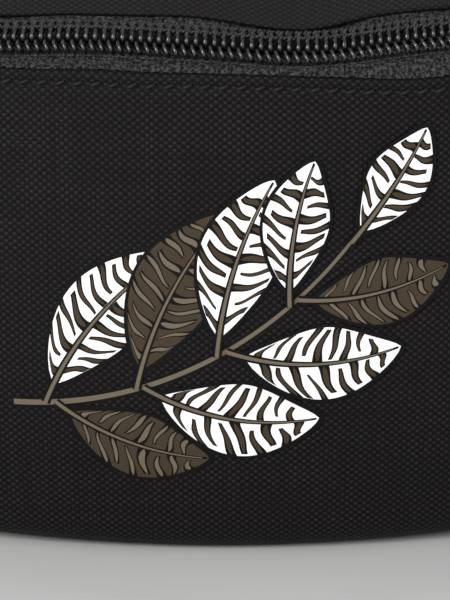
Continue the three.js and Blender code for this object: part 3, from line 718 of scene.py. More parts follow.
leaf_draw = np.random.default_rng(7)
branch = bowed(BRANCH_FOOT, 85, BRANCH_LONG, -47)
for colour, level, half in [("black", 0, 0.95 * MM), ("tan", INK_STEP, 0.45 * MM)]:
    s, side = grid(-0.07, 1, -1, 1, 50, 3)
    ink(colour, level, branch(s, half * side * (1.15 - 0.5 * s)))
for order, (share, turn, length, bend, width, blade, stripe) in enumerate(LEAVES, 1):
    foot = branch(share)
    heading = 85 - 47 * share + turn
    printed_leaf(order, foot, heading, length * MM, bend, width * MM, blade, stripe,
                 round(length / 3.6), leaf_draw)
inks = [ink_material(name, colour) for name, colour in INKS.items()]
new_piece("printed_leaves", patch_mesh(ink_patches, inks), "bag", "shell_fabric")

# ---- zip tapes -----------------------------------------------------------------------------
# Two knitted polyester tapes. The lower one is sewn inside the panel's hem, bends at the edge
# and leans back; the upper one runs on under the top. Their inner edges carry the coil.

TAPE = 0.64 * MM
TAPE_SHOWN = 2.9 * MM
TAPE_BOW = 0.15 * MM                            # by which the lower tape isn't quite flat
HEM_TUCK = 1.75 * MM                            # of the near-black line behind the fold, painted shadow of the gap
CHAIN_WIDE = 6.2 * MM
SLIT = 1.0 * MM                                 # between the two tapes, under the coil
STRIP_LONG = 2 * TAPE_SHOWN + CHAIN_WIDE
STRIP_TILT = math.radians(45)
STRIP_END_TILT = math.radians(83)
STRIP_EASE = math.radians(41)                   # beyond this angle the strip stands up
TAPE_ANGLE = math.radians(51.2)
CHAIN_ANGLE = math.radians(43.5)
KNEE_REACH = FRONT_REACH - 2.5 * MM
KNEE_Z = ZIP_Z - 0.1 * MM
WAVE_AT = 13 * MM                               # where the zip sags a little


def strip_lines(angle):
    """The strip's lower knee, and its directions up the strip and out of it, as (reach, z)."""
    ease = smooth(np.abs(angle), STRIP_EASE, END_ANGLE)
    tilt = STRIP_TILT + (STRIP_END_TILT - STRIP_TILT) * ease
    up = points_of(-np.cos(tilt), np.sin(tilt))
    out = points_of(np.sin(tilt), np.cos(tilt))
    knee = np.broadcast_to([KNEE_REACH, KNEE_Z], up.shape)
    return knee, up, out


def chain_wave(angle):
    """How far the chain strays up or down its strip."""
    x = FRONT_REACH * np.sin(angle)
    return MM * (-1.6 * hump(x, WAVE_AT, 13 * MM) + 0.8 * hump(x, -24 * MM, 14 * MM)
                 + 1.2 * between(x, 20 * MM, 45 * MM, 60 * MM, 95 * MM)
                 + 0.18 * ripple(x / (30 * MM), 0, 5))


def on_strip(angle, up_by, out_by, loose=1.0):
    """A point on the strip, from its middle: up the strip, and out of it. loose is how much
    of the chain's wave it follows."""
    angle, up_by, out_by, loose = np.broadcast_arrays(angle, up_by, out_by, loose)
    knee, up, out = strip_lines(angle)
    rise = STRIP_LONG / 2 + up_by + loose * chain_wave(angle)
    place = knee + up * rise[..., None] + out * out_by[..., None]
    return round_bag(angle, place[..., 0], place[..., 1])


def knit_material():
    """Knitted tape: faint upright wales under a soft, fuzzy, uneven nap. Its colour follows the
    relief: paler where the nap and wales stand up, a painted highlight, and darker between, painted
    shade.
    """
    material, tree, surface = new_material("knitted tape")
    vector = flat_cloth_vector(tree)
    wale = put(tree, "ShaderNodeTexWave", {"Vector": vector, "Scale": 330.0, "Distortion": 6.0,
                                           "Detail": 2.0, "Detail Scale": 3.0})
    fuzz = speckle(tree, vector, 2600.0, 2.0, 0.7)
    clump = speckle(tree, vector, 1400.0, 1.0)
    height = plus(tree, times(tree, wale.outputs["Fac"], 0.1), plus(tree, fuzz, clump))
    # Painted light: the tone is the relief itself, light on its heights and dark in its hollows.
    tone = blend_colours(tree, remap(tree, height, 0.84, 1.42), (0.0050, 0.0050, 0.0051, 1),
                         (0.066, 0.066, 0.066, 1))
    dress(tree, surface, tone, 0.8, 0.1, height, 0.8, 0.25 * MM)
    return material


def zip_tape(name, stands_for, section):
    """A tape from its outline across, given as (reach, z) points at each angle."""
    angles = np.linspace(-TAPE_ANGLE, TAPE_ANGLE, 200)
    line = section(angles)
    steps = np.linalg.norm(np.diff(line, axis=1), axis=-1)
    across = np.concatenate([np.zeros((len(angles), 1)), np.cumsum(steps, axis=1)], axis=1)
    points = round_bag(angles[:, None], line[..., 0], line[..., 1])
    uvs = points_of(angles[:, None] * KNEE_REACH, across)
    tape = new_piece(name, grid_mesh(points, uvs, knitted_tape), "bag", "zip_tape", stands_for)
    thicken(tape, TAPE, 0)


def lower_section(angles):
    knee, up, out = strip_lines(angles)
    wave = chain_wave(angles)[:, None]
    hidden = [knee - [0, h] for h in (4.5 * MM, 2.5 * MM, 0.8 * MM)]
    reach = STRIP_LONG / 2 - SLIT / 2
    shown = [knee + up * (share * reach + share * wave) + out * TAPE_BOW * math.sin(9 * share)
             for share in (0.12, 0.24, 0.36, 0.5, 0.66, 0.84, 1.0)]
    return np.stack(hidden + shown, 1)


def roof_line(angle):
    """Where the top begins over the zip tape, and the seam that it runs back to."""
    knee, up, _ = strip_lines(angle)
    high = knee + up * STRIP_LONG
    seam_x = BACK_REACH * np.tan(angle)
    seam = points_of(BACK_REACH / np.cos(angle), top_seam(seam_x))
    back = (seam - high) / np.linalg.norm(seam - high, axis=-1, keepdims=True)
    lift = points_of(back[..., 1], -back[..., 0])
    return high, seam, back, lift


def upper_section(angles):
    knee, up, _ = strip_lines(angles)
    high, _, back, _ = roof_line(angles)
    wave = chain_wave(angles)[:, None]
    start = STRIP_LONG / 2 + SLIT / 2
    shown = [knee + up * (start + share * (STRIP_LONG - start) + (1 - share) * wave)
             for share in (0, 0.15, 0.3, 0.45, 0.6, 0.8, 1.0)]
    tucked = [high + back * far for far in (1.5 * MM, 3 * MM)]
    return np.stack(shown + tucked, 1)


knitted_tape = knit_material()
zip_tape("lower_tape", "zip_tape_lower", lower_section)
zip_tape("upper_tape", "zip_tape_upper", upper_section)
hem_angles = np.arange(-TAPE_ANGLE, TAPE_ANGLE, 0.5 * MM / FRONT_REACH)
hem_back = panel_at(hem_angles * FRONT_REACH, 0, 0)
hem_tuck = round_bag(hem_angles, FRONT_REACH - HEM_TUCK, hem_back[:, 2] - 0.12 * MM)
# A row of near-black stitches in the gap behind the hem's fold: painted shadow along that gap.
stitched("hem_gap_painted_shadow", [hem_tuck], slot="zip_tape", pitch=1.7 * MM, stitch=2 * MM,
         thread=0.5 * MM, finish=painted_shadow)

# ---- zip coil ------------------------------------------------------------------------------
# Two flattened helices of nylon monofilament, 1.6 mm between turns, with their heads pressed
# wide so that they lock in each other. Each is sewn to its tape by a row of chain stitches.

COIL_PITCH = 1.6 * MM
FILAMENT = 0.34 * MM                            # radius
TURN_STEPS = 14
OUTER_TURN = 2.85 * MM                          # from the middle of the strip
HEAD_END = {1: -0.42 * MM, -1: 0.35 * MM}       # the upper heads lie over the lower ones
HEAD_BULGE = {1: 0.45, -1: 0.1}
BACK_LEG = 0.85 * MM
FRONT_LEG = 2.25 * MM
HEAD_OUT = {1: 0.15 * MM, -1: -0.75 * MM}       # the lower heads dip behind the upper ones
# Each stitch: its run in turns, its height up the strip and its height off it, in mm.
COVER_STITCHES = [((0.76, 0.93, 1.12), (0.75, 1.15, 1.6), (2.3, 2.74, 2.65)),
                  ((0.76, 0.92, 1.10), (1.45, 1.95, 2.5), (2.5, 2.8, 2.7)),
                  ((0.60, 0.80, 1.02), (2.15, 2.75, 3.3), (2.75, 2.6, 1.2)),
                  ((0.08, 0.35, 0.66), (1.95, 1.5, 1.75), (2.55, 2.3, 2.5)),
                  ((0.12, 0.34, 0.56), (2.5, 3.0, 3.4), (2.6, 2.1, 0.9))]
COVER_THREAD = 0.31 * MM
CHAIN_REACH = KNEE_REACH - STRIP_LONG / 2 * math.cos(STRIP_TILT)
COIL_TURNS = int(2 * CHAIN_ANGLE * CHAIN_REACH / COIL_PITCH) - 1
HEAD_LAG = 0.62                                 # in turns, of a head behind its outer end
LOWER_LEAD = 0.22                               # in turns, of the lower coil's outer ends


def squared_off(wave, power):
    """A sine or cosine squared off, as the sides of a box with round corners."""
    return np.sign(wave) * np.abs(wave) ** power


def coil_line(side):
    """The helix of one half, and how thick the filament is along it."""
    t = np.arange(COIL_TURNS * TURN_STEPS + 1) / TURN_STEPS
    turn = t * 2 * math.pi
    reach = squared_off(np.cos(turn), 0.8)
    height = squared_off(np.sin(turn), 0.6)
    run = (t + (0.5 if side < 0 else 0) - COIL_TURNS / 2) * COIL_PITCH
    run = run - HEAD_LAG * COIL_PITCH * np.sin(turn / 2) ** 2
    if side < 0:
        run = run + LOWER_LEAD * COIL_PITCH * smooth(np.cos(turn), 0.1, 1)
    inner = HEAD_END[side]
    up = side * ((OUTER_TURN + inner) / 2 + (OUTER_TURN - inner) / 2 * reach)
    out = (FRONT_LEG + BACK_LEG) / 2 + (FRONT_LEG - BACK_LEG) / 2 * height
    head = smooth(-np.cos(turn), 0.55, 1)
    out = out + HEAD_OUT[side] * smooth(-np.cos(turn), -0.1, 0.9)
    return on_strip(run / CHAIN_REACH, up, out), 1 + HEAD_BULGE[side] * head


def cover_threads():
    """Slanting chain stitches that wrap the upper coil's outer turns on to its tape."""
    lines = []
    for k in range(COIL_TURNS):
        for runs, ups, outs in COVER_STITCHES:
            run = (k + np.array(runs) - COIL_TURNS / 2) * COIL_PITCH
            lines.append(on_strip(run / CHAIN_REACH, np.array(ups) * MM, np.array(outs) * MM))
    return lines


# Dyed nylon monofilament, satin, with a faint scuffed bloom.
nylon = grained("nylon coil", (240.0, 3.0), (0.0055, 0.0055, 0.0058, 1), (0.010, 0.010, 0.0103, 1),
                (0.2, 0.8, 0.24, 0.36), 1.0, (1900.0, 2.0), 0.12, 0.05 * MM)
# Bulky textured polyester thread, as matt and grey as the tape: its tone is the same noise as its
# grain, paler on the raised fibres as a painted highlight and darker between them as painted shade.
cover_thread = grained("coil thread", (2300.0, 3.0, 0.7), (0.010, 0.010, 0.010, 1),
                       (0.056, 0.056, 0.056, 1), 0.8, 0.1, (2300.0, 3.0, 0.7), 0.6, 0.12 * MM,
                       reach=(0.35, 0.65))
for name, side in [("lower", -1), ("upper", 1)]:
    places, thickness = coil_line(side)
    new_piece(f"{name}_coil", wire([places], FILAMENT, 8, nylon, thickness), "bag", "zip_coil",
              f"zip_coil_{name}")
new_piece("upper_coil_thread", wire(cover_threads(), COVER_THREAD, 6, cover_thread), "bag",
          "zip_tape")
angles = np.linspace(-CHAIN_ANGLE, CHAIN_ANGLE, 400)
stitched("lower_coil_thread", [on_strip(angles, -3.2 * MM, 0.45 * MM)], slot="zip_tape",
         pitch=COIL_PITCH, stitch=1.5 * MM, thread=0.4 * MM, finish=cover_thread)

# ---- zip end tabs --------------------------------------------------------------------------
# A patch of the shell cloth, folded under at its edge, covers each raw end of the zip. It is
# held by a bar tack across the last teeth.

TAB_ANGLES = (math.radians(44), math.radians(51.6))
TAB_HALF = 5.3 * MM
TAB_OUT = 0.75 * MM                             # of its pressed edge over the tapes
TAB_RISE = 1.1 * MM
TACK_HALF = 3.4 * MM
TACK_OUT = 1.92 * MM


def end_tab(name, side):
    near, far = TAB_ANGLES
    angles, across = grid(near, far, -TAB_HALF, TAB_HALF, 24, 24)
    edge = np.minimum(TAB_HALF - np.abs(across), (angles - near) * FRONT_REACH)
    out = TAB_OUT + TAB_RISE * smooth(edge, -0.2 * MM, 0.9 * MM)
    out = out + 0.12 * MM * ripple(angles * 60, across / (3 * MM), 6 + side)
    points = on_strip(side * angles, across, out, 0)
    uvs = points_of(side * angles * FRONT_REACH, across)
    mesh = grid_mesh(points, uvs, shell_cloth)
    if side < 0:
        mesh.flip_normals()
    tab = new_piece(f"zip_tab_{name}", mesh, "bag", "shell_fabric", f"zip_end_tab_{name}")
    thicken(tab, CLOTH)
    tack = [on_strip(side * (near + math.radians(0.5 + 0.16 * k)),
                     np.linspace(-TACK_HALF, TACK_HALF, 12), TACK_OUT, 0) for k in range(5)]
    stitched(f"zip_tack_{name}", tack, pitch=1.1 * MM, stitch=1.2 * MM, thread=0.4 * MM)


end_tab("left", -1)
end_tab("right", 1)

# ---- slider --------------------------------------------------------------------------------
# A zinc die casting with a black lacquer: a domed shield with a flange down each side of the
# coil, a post and a back plate inside the bag, and an arched bridge for the pull. It is
# tumbled smooth, and the lacquer is rubbed thin in places.

SHIELD = [(-5.5, 3.66), (-5.3, 3.75), (-3, 3.85), (0, 4.1), (2.2, 4.36), (3.4, 4.3), (4.4, 3.9),
          (5.1, 3.2), (5.5, 2.3)]               # along the zip and half the width, in mm
SHIELD_HALF = 5.5                               # half its length, in mm
# Heights out of the strip beside the bridge's bar, in mm.
SHIELD_TOP, SHIELD_INSIDE, FLANGE_FOOT = -3.1, -4.2, -6.7
PLATE_MIDDLE, POST_ENDS = -8.6, (-8.5, -3.7)
BAR_RADIUS = 0.56 * MM                          # of the bridge
BRIDGE = np.array(joint_of["pull_swing"]["pos_m"])
PULL_ANGLE = math.atan2(BRIDGE[0], AXIS_Y - BRIDGE[1])


def outward(mesh):
    """Merges doubled points and turns a closed mesh's faces outwards."""
    shape = bmesh.new()
    shape.from_mesh(mesh)
    bmesh.ops.remove_doubles(shape, verts=shape.verts, dist=0.001 * MM)
    bmesh.ops.recalc_face_normals(shape, faces=shape.faces)
    shape.to_mesh(mesh)
    shape.free()
    return mesh


def run_along(line):
    """The length of a line up to each of its points."""
    return np.concatenate([[0], np.cumsum(np.linalg.norm(np.diff(line, axis=0), axis=1))])


def tube_grid(line, radius, sides, closed, across_to):
    """The rings of a round tube along a line, and its cloth coordinates."""
    line = np.asarray(line, float)
    ahead = np.roll(line, -1, 0) - np.roll(line, 1, 0)
    if not closed:
        ahead[0], ahead[-1] = line[1] - line[0], line[-1] - line[-2]
    ahead /= np.linalg.norm(ahead, axis=1, keepdims=True)
    across = np.cross(ahead, across_to)
    across /= np.linalg.norm(across, axis=1, keepdims=True)
    over = np.cross(across, ahead)
    if closed:
        line, across, over = (np.concatenate([a, a[:1]]) for a in (line, across, over))
    turn = np.arange(sides + 1) * 2 * math.pi / sides
    radius = np.broadcast_to(radius, len(line))[:, None, None]
    rings = line[:, None] + radius * (across[:, None] * np.cos(turn[:-1])[:, None]
                                      + over[:, None] * np.sin(turn[:-1])[:, None])
    uvs = np.meshgrid(run_along(line), turn * float(np.max(radius)), indexing="ij")
    return rings, points_of(*uvs)


def at_slider(along, up, out):
    """A point beside the bridge's bar: along the zip, up the strip and out of it, in mm."""
    level = (out - up) * math.cos(STRIP_TILT)
    high = (out + up) * math.sin(STRIP_TILT)
    sine, cosine = math.sin(PULL_ANGLE), math.cos(PULL_ANGLE)
    return BRIDGE + MM * points_of(along * cosine + level * sine,
                                   along * sine - level * cosine, high)


def boxy(turn, power):
    return squared_off(np.sin(turn), power)


def solid_of_rings(rings, material):
    """A closed solid through rings of points, for a finish that needs no cloth coordinates."""
    uvs = np.zeros((rings.shape[0], rings.shape[1] + 1, 2))
    return outward(grid_mesh(rings, uvs, material, ring=True, caps=True))


def cast_piece(name, rings, *stands_for):
    mesh = solid_of_rings(rings, lacquer)
    mesh.set_sharp_from_angle(angle=math.radians(50))
    new_piece(name, mesh, "slider", "slider_metal", *stands_for)


# Black lacquer over zinc: glossy, with orange peel and dull scuffs.
lacquer = grained("black lacquer", (900.0, 4.0), (0.013, 0.013, 0.014, 1),
                  (0.035, 0.035, 0.037, 1), (0.0, 1.0, 0.24, 0.5), 0.5, (1500.0, 1.0), 0.08,
                  0.1 * MM, reach=(0.55, 0.72),
                  **{"Metallic": 0.35, "Coat Weight": 0.4, "Coat Roughness": 0.15})
along = SHIELD_HALF * np.sin(np.linspace(-math.pi / 2, math.pi / 2, 41))[:, None]
half = np.interp(along, *np.array(SHIELD).T)
inside = np.minimum(half - 0.25, 3.4)
foot = FLANGE_FOOT + 2.4 * smooth(along, 2.2, 4.4)
top = SHIELD_TOP - 0.75 * np.abs(along / SHIELD_HALF) ** 9
turn = np.linspace(0, math.pi, 25)[None]
dome = foot + (top - foot) * boxy(turn, 0.4)
hollow = foot + (SHIELD_INSIDE - foot) * boxy(turn[:, ::3], 0.1)
across = np.concatenate([half * boxy(turn + math.pi / 2, 0.4),
                         -inside * boxy(turn[:, ::3] + math.pi / 2, 0.1)], 1)
cast_piece("slider_shield", at_slider(along, across, np.concatenate([dome, hollow], 1)),
           "zip_slider")
turn = np.linspace(0, 2 * math.pi, 24, endpoint=False)[None]
cast_piece("slider_back_plate", at_slider(along, half * boxy(turn + math.pi / 2, 0.3),
                                          PLATE_MIDDLE + 0.5 * boxy(turn, 0.5)))
cast_piece("slider_post", at_slider(3.3 + 1.7 * boxy(turn + math.pi / 2, 0.8),
                                    0.2 * boxy(turn, 0.8), np.array(POST_ENDS)[:, None]))
turn = np.linspace(0, math.pi, 25)
arch = at_slider(2.8 * boxy(turn + math.pi / 2, 0.45), 0, -3.6 + 3.62 * boxy(turn, 0.45))
wide = (at_slider(0, 1, 0) - BRIDGE) / MM
rings, _ = tube_grid(arch, BAR_RADIUS, 14, False, wide)
apart = (rings - arch[:, None]) @ wide
cast_piece("slider_bridge", rings + 0.4 * apart[..., None] * wide)

# ---- pull: cord and grip -------------------------------------------------------------------
# A loop of braided polyester cord goes round the slider's bridge, and its two ends are moulded
# into a soft rubber grip with ribs for the fingers.

PULL_CORD = 1.55 * MM
STRAND_PITCH = 0.6 * MM
CORD_BEND = 1.9 * MM
CORD_LONG = 8.4 * MM
CORD_SLOPE = math.radians(44)
RIB_DEEP = 1.42 * MM                            # half across the grip's thickness
RIB_WIDE = 3.9 * MM                             # half across its width
RIB_START = 4.5 * MM                            # above the grip's lower end
RIB_PITCH = 2.4 * MM
RIB_THICK = 0.84 * MM
RIB_TAPER = 0.12 * MM                           # from each rib to the next
GRIP_EDGE = 0.75 * MM
grip_low, grip_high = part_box("pull_grip")


def braid_material():
    """Braided cord: slanting strands that cross in diamonds, paler along their crests as a painted
    highlight and darker in the grooves as painted shade.
    """
    material, tree, surface = new_material("braided cord")
    run, girth, _ = parts_of_vector(tree, flat_cloth_vector(tree))
    slants = [calc(tree, "MULTIPLY_ADD", girth, sign, run) for sign in (1.0, -1.0)]
    height = calc(tree, "MAXIMUM", *[
        calc(tree, "SINE", times(tree, slant, 2 * math.pi / STRAND_PITCH)) for slant in slants])
    tone = blend_colours(tree, remap(tree, height, -0.4, 1.0), (0.006, 0.006, 0.006, 1),
                         (0.03, 0.03, 0.031, 1))
    dress(tree, surface, tone, 0.7, 0.15, height, 0.6, 0.12 * MM)
    return material


def softened_mesh(node, width, material):
    """A copy of a frame node with its facets merged and its edges rounded."""
    mesh = frame["nodes"][node].data.copy()
    shape = bmesh.new()
    shape.from_mesh(mesh)
    bmesh.ops.remove_doubles(shape, verts=shape.verts, dist=0.01 * MM)
    bmesh.ops.dissolve_limit(shape, angle_limit=math.radians(1.5), verts=shape.verts,
                             edges=shape.edges)
    bmesh.ops.recalc_face_normals(shape, faces=shape.faces)
    sharp = [e for e in shape.edges
             if len(e.link_faces) == 2 and e.calc_face_angle() > math.radians(32)]
    bmesh.ops.bevel(shape, geom=sharp, offset=width, segments=3, profile=0.5,
                    affect="EDGES", clamp_overlap=True)
    bmesh.ops.triangulate(shape, faces=[f for f in shape.faces if len(f.verts) > 4])
    shape.to_mesh(mesh)
    shape.free()
    mesh.materials.clear()
    mesh.materials.append(material)
    mesh.shade_smooth()
    mesh.set_sharp_from_angle(angle=math.radians(40))
    return mesh


def at_pull(away, sideways, up):
    """A point beside the bridge: out from the bag's axis, along the zip, and up."""
    sine, cosine = math.sin(PULL_ANGLE), math.cos(PULL_ANGLE)
    return BRIDGE + points_of(away * sine + sideways * cosine,
                              sideways * sine - away * cosine, up)


def hoop(line, thickness, sides, across_to, material):
    points, uvs = tube_grid(line, thickness / 2, sides, True, across_to)
    return outward(grid_mesh(points, uvs, material, ring=True))


turn = np.linspace(0, 2 * math.pi, 48, endpoint=False)
cord_along = (CORD_LONG - CORD_BEND) / 2 - (CORD_LONG + CORD_BEND) / 2 * np.cos(turn)
cord_side = CORD_BEND * np.sin(turn) * (0.62 + 0.31 * np.cos(turn))
cord_line = at_pull(cord_along * math.sin(CORD_SLOPE) + cord_side * math.cos(CORD_SLOPE), 0,
                    -cord_along * math.cos(CORD_SLOPE) + cord_side * math.sin(CORD_SLOPE))
new_piece("pull_loop", hoop(cord_line, PULL_CORD, 12, at_pull(0, 1, 0) - BRIDGE,
                            braid_material()), "pull", "webbing", "pull_cord")

# Soft moulded rubber, matt, with a fine eggshell grain.
rubber = grained("soft rubber", (130.0, 4.0), (0.0075, 0.0075, 0.0078, 1),
                 (0.016, 0.016, 0.0165, 1), (0.3, 0.7, 0.55, 0.7), 0.3, (3200.0, 2.0), 0.25,
                 0.08 * MM)
new_piece("grip", softened_mesh("pull_grip", GRIP_EDGE, rubber), "pull", "grip_rubber",
          "pull_grip")
grip_middle = (grip_low + grip_high) / 2
grip_out = ((grip_middle.x - BRIDGE[0]) * math.sin(PULL_ANGLE)
            + (BRIDGE[1] - grip_middle.y) * math.cos(PULL_ANGLE))
turn = np.linspace(0, 2 * math.pi, 40, endpoint=False)
for k in range(5):
    ring = at_pull(grip_out + RIB_DEEP * squared_off(np.sin(turn), 0.5),
                   (RIB_WIDE - RIB_TAPER * k) * squared_off(np.cos(turn), 0.5),
                   grip_low.z - BRIDGE[2] + RIB_START + RIB_PITCH * k)
    new_piece(f"grip_rib_{k + 1}", hoop(ring, RIB_THICK, 8, (0, 0, 1), rubber), "pull",
              "grip_rubber")

# ---- top panel -----------------------------------------------------------------------------
# The same cloth, from the back seam forward over the bag to the zip. Its front edge is folded
# under and hangs a little over the upper tape, lowest where the zip sags.

ROOF_ABOVE = 1.45 * MM                          # outer face over the middle of the tape
ROOF_FOLD = 0.5 * MM                            # radius of the folded edge
ROOF_HEM = 7 * MM
ROOF_CROWN = 0.045                              # share of its run that it bulges
DROOP = 4.9 * MM                                # of its edge where the zip sags


def overhang(angle):
    """How far the folded edge hangs in front of the top of the strip."""
    x = FRONT_REACH * np.sin(angle)
    width = np.where(x < WAVE_AT + MM, 15.5 * MM, 11 * MM)
    droop = DROOP * hump(x, WAVE_AT + MM, width)
    near = -0.4 + 1.1 * smooth(-x, 28 * MM, 42 * MM) - 0.5 * smooth(x, 28 * MM, 44 * MM)
    near = near + 0.65 * smooth(-x, 4 * MM, 18 * MM) + 0.2 * smooth(x, 14 * MM, 26 * MM)
    far = smooth(np.abs(x), 45 * MM, 80 * MM)
    return (near + (0.7 - near) * far) * MM + droop


def roof_at(angle, far):
    """Points on the top at a distance behind its folded edge; negative is under the fold."""
    angle, far = np.broadcast_arrays(angle, far)
    high, seam, back, lift = roof_line(angle)
    edge = high + lift * ROOF_ABOVE - back * overhang(angle)[..., None]
    run = seam - edge
    long = np.linalg.norm(run, axis=-1)
    forward = run / long[..., None]
    flat = np.maximum(far, 0)
    hidden = np.maximum(-far - math.pi * ROOF_FOLD, 0)
    t = flat / long
    bend = np.clip(-far / ROOF_FOLD, 0, math.pi)
    ahead = ROOF_FOLD - ROOF_FOLD * np.sin(bend) + flat + hidden
    under = ROOF_FOLD * (1 - np.cos(bend))
    x = FRONT_REACH * np.sin(angle)
    ends = smooth(np.abs(x), 40 * MM, 120 * MM)
    wave = (0.35 + 0.8 * ends) * ripple(angle * FRONT_REACH / (38 * MM), flat / (30 * MM), 11)
    seam_pucker = 0.6 * np.exp((flat - long) / (9 * MM)) * ripple(x / (8 * MM), flat / (40 * MM), 12)
    crown = ROOF_CROWN * long * np.sin(math.pi * t)
    rise = crown + (wave * np.sin(math.pi * np.clip(t + 0.12, 0, 1)) + seam_pucker) * MM - under
    place = edge + forward * ahead[..., None] + lift * rise[..., None]
    return round_bag(angle, place[..., 0], place[..., 1]), place[..., 0]


# The top has its own copy of the cloth, with paler painted shade between the yarns and a dimmer
# painted highlight on their crowns, so its weave stands out less.
top_weave = woven_cloth("shell cloth of the top", flat_cloth_vector,
                        (0.0070, 0.0060, 0.0064, 1), (0.0202, 0.0184, 0.0194, 1), 0.6)
roof_columns = np.linspace(-END_ANGLE, END_ANGLE, 232)
high, seam, back, lift = roof_line(roof_columns)
roof_long = np.linalg.norm(seam - high - lift * ROOF_ABOVE
                           + back * overhang(roof_columns)[:, None], axis=-1)
fold = -math.pi * ROOF_FOLD
near_rows = np.concatenate([[fold - ROOF_HEM, fold - ROOF_HEM / 2], np.linspace(fold, 0, 10)])
far_rows = np.linspace(0, 1, 62)[1:, None] * roof_long
rows = np.concatenate([np.repeat(near_rows[:, None], len(roof_columns), 1), far_rows])
roof_points, roof_reach = roof_at(roof_columns, rows)
roof_mesh = grid_mesh(roof_points, points_of(roof_reach * roof_columns, rows), top_weave)
top_cloth = new_piece("top_cloth", roof_mesh, "bag", "shell_fabric", "top_panel")
thicken(top_cloth, CLOTH)

# ---- piping --------------------------------------------------------------------------------
# A cord covered with bias-cut shell cloth is caught in the back seam, all the way round.

PIPING = 3.4 * MM
pipe_low, pipe_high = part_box("piping")
PIPE_SIDE = pipe_high.x - 1.75 * MM
PIPE_ROUND = 2.6 * MM                           # by which its corners are eased
PIPE_CORNER = PIPE_SIDE - PIPE_ROUND
PIPE_RISE = (46 * MM, 108 * MM)                 # its straight run up each end of the bag


def eased(line, reach):
    """Spaces the points of a closed line evenly, 1 mm apart, and rounds its corners."""
    line = np.concatenate([line, line[:1]])
    run = run_along(line)
    even = np.linspace(0, run[-1], int(run[-1] / MM), endpoint=False)
    line = np.stack([np.interp(even, run, line[:, k]) for k in range(3)], -1)
    pad = int(3 * reach / MM) + 1
    weights = np.exp(-0.5 * (np.arange(-pad, pad + 1) * MM / reach) ** 2)
    weights /= weights.sum()
    wide = np.pad(line, ((pad, pad), (0, 0)), mode="wrap")
    return np.stack([np.convolve(wide[:, k], weights, mode="valid") for k in range(3)], -1)


pipe_x = np.linspace(-PIPE_CORNER, PIPE_CORNER, 120)
pipe_up = np.linspace(*PIPE_RISE, 30)
pipe_flat = np.concatenate([
    points_of(pipe_x, beside(bottom_seam, -3 * MM)(pipe_x)),
    points_of(PIPE_SIDE, pipe_up),
    points_of(pipe_x, beside(top_seam, 2 * MM)(pipe_x))[::-1],
    points_of(-PIPE_SIDE, pipe_up)[::-1]])
pipe_y = (pipe_low.y + pipe_high.y) / 2
pipe_line = eased(np.insert(pipe_flat, 1, pipe_y, axis=1), PIPE_ROUND)
pipe_run = np.arange(len(pipe_line) + 1) * MM
pipe_radius = PIPING / 2 + 0.07 * MM * ripple(pipe_run / (9 * MM), 0, 21)
pipe_points, pipe_uvs = tube_grid(pipe_line, pipe_radius, 14, True, (0, 1, 0))
bias = np.array([[1, 1], [-1, 1]]) / math.sqrt(2)
pipe_mesh = grid_mesh(pipe_points, pipe_uvs @ bias, shell_cloth, ring=True)
new_piece("seam_piping", outward(pipe_mesh), "bag", "shell_fabric", "piping")

# ---- back panel ----------------------------------------------------------------------------
# Foam behind spacer mesh lies against the wearer. Two sewn channels part it into three pads,
# and the edge is pressed thin where the seam runs through all layers.

back_low, back_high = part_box("back_panel")
BACK_HALF = back_high.x
FLANGE = 4.4 * MM
CHANNEL_AT = 50 * MM                            # from the middle, at its lower end
CHANNEL_LEAN = 8 * MM
CHANNEL_DEEP = 1.9 * MM                         # of the channels under the back's face
PAD_CROWN = 0.7 * MM                            # of the pads over it
RIM_DEEP = 1.2 * MM                             # by which the cut edge is pressed thinner
SEW_INSET = 3 * MM
NET_PITCH = 2.3 * MM
PAD_PRESSURE = 3.0
PAD_CAP = 3.2 * MM
FILL_STEPS = 20


def mesh_material():
    """Spacer mesh: a net of fine yarn with six-sided holes, painted near black inside as the shade
    in them.
    """
    material, tree, surface = new_material("spacer mesh")
    vector = flat_cloth_vector(tree)
    across, up, _ = parts_of_vector(tree, vector)
    waves = []
    for way in (0, math.radians(60), math.radians(120)):
        along = calc(tree, "MULTIPLY_ADD", across, math.cos(way), times(tree, up, math.sin(way)))
        waves.append(calc(tree, "COSINE", times(tree, along, 2 * math.pi / NET_PITCH)))
    lattice = plus(tree, plus(tree, waves[0], waves[1]), waves[2])
    hole = remap(tree, lattice, 0.35, 1.6)
    yarn = speckle(tree, vector, 2400.0, 2.0)
    net = blend_colours(tree, yarn, (0.012, 0.012, 0.0125, 1), (0.030, 0.030, 0.031, 1))
    # The holes take a near-black colour: painted shade.
    dress(tree, surface, blend_colours(tree, hole, net, (0.003, 0.003, 0.003, 1)), 0.8, 0.15,
          calc(tree, "SUBTRACT", times(tree, yarn, 0.25), hole), 0.8, 0.5 * MM)
    return material


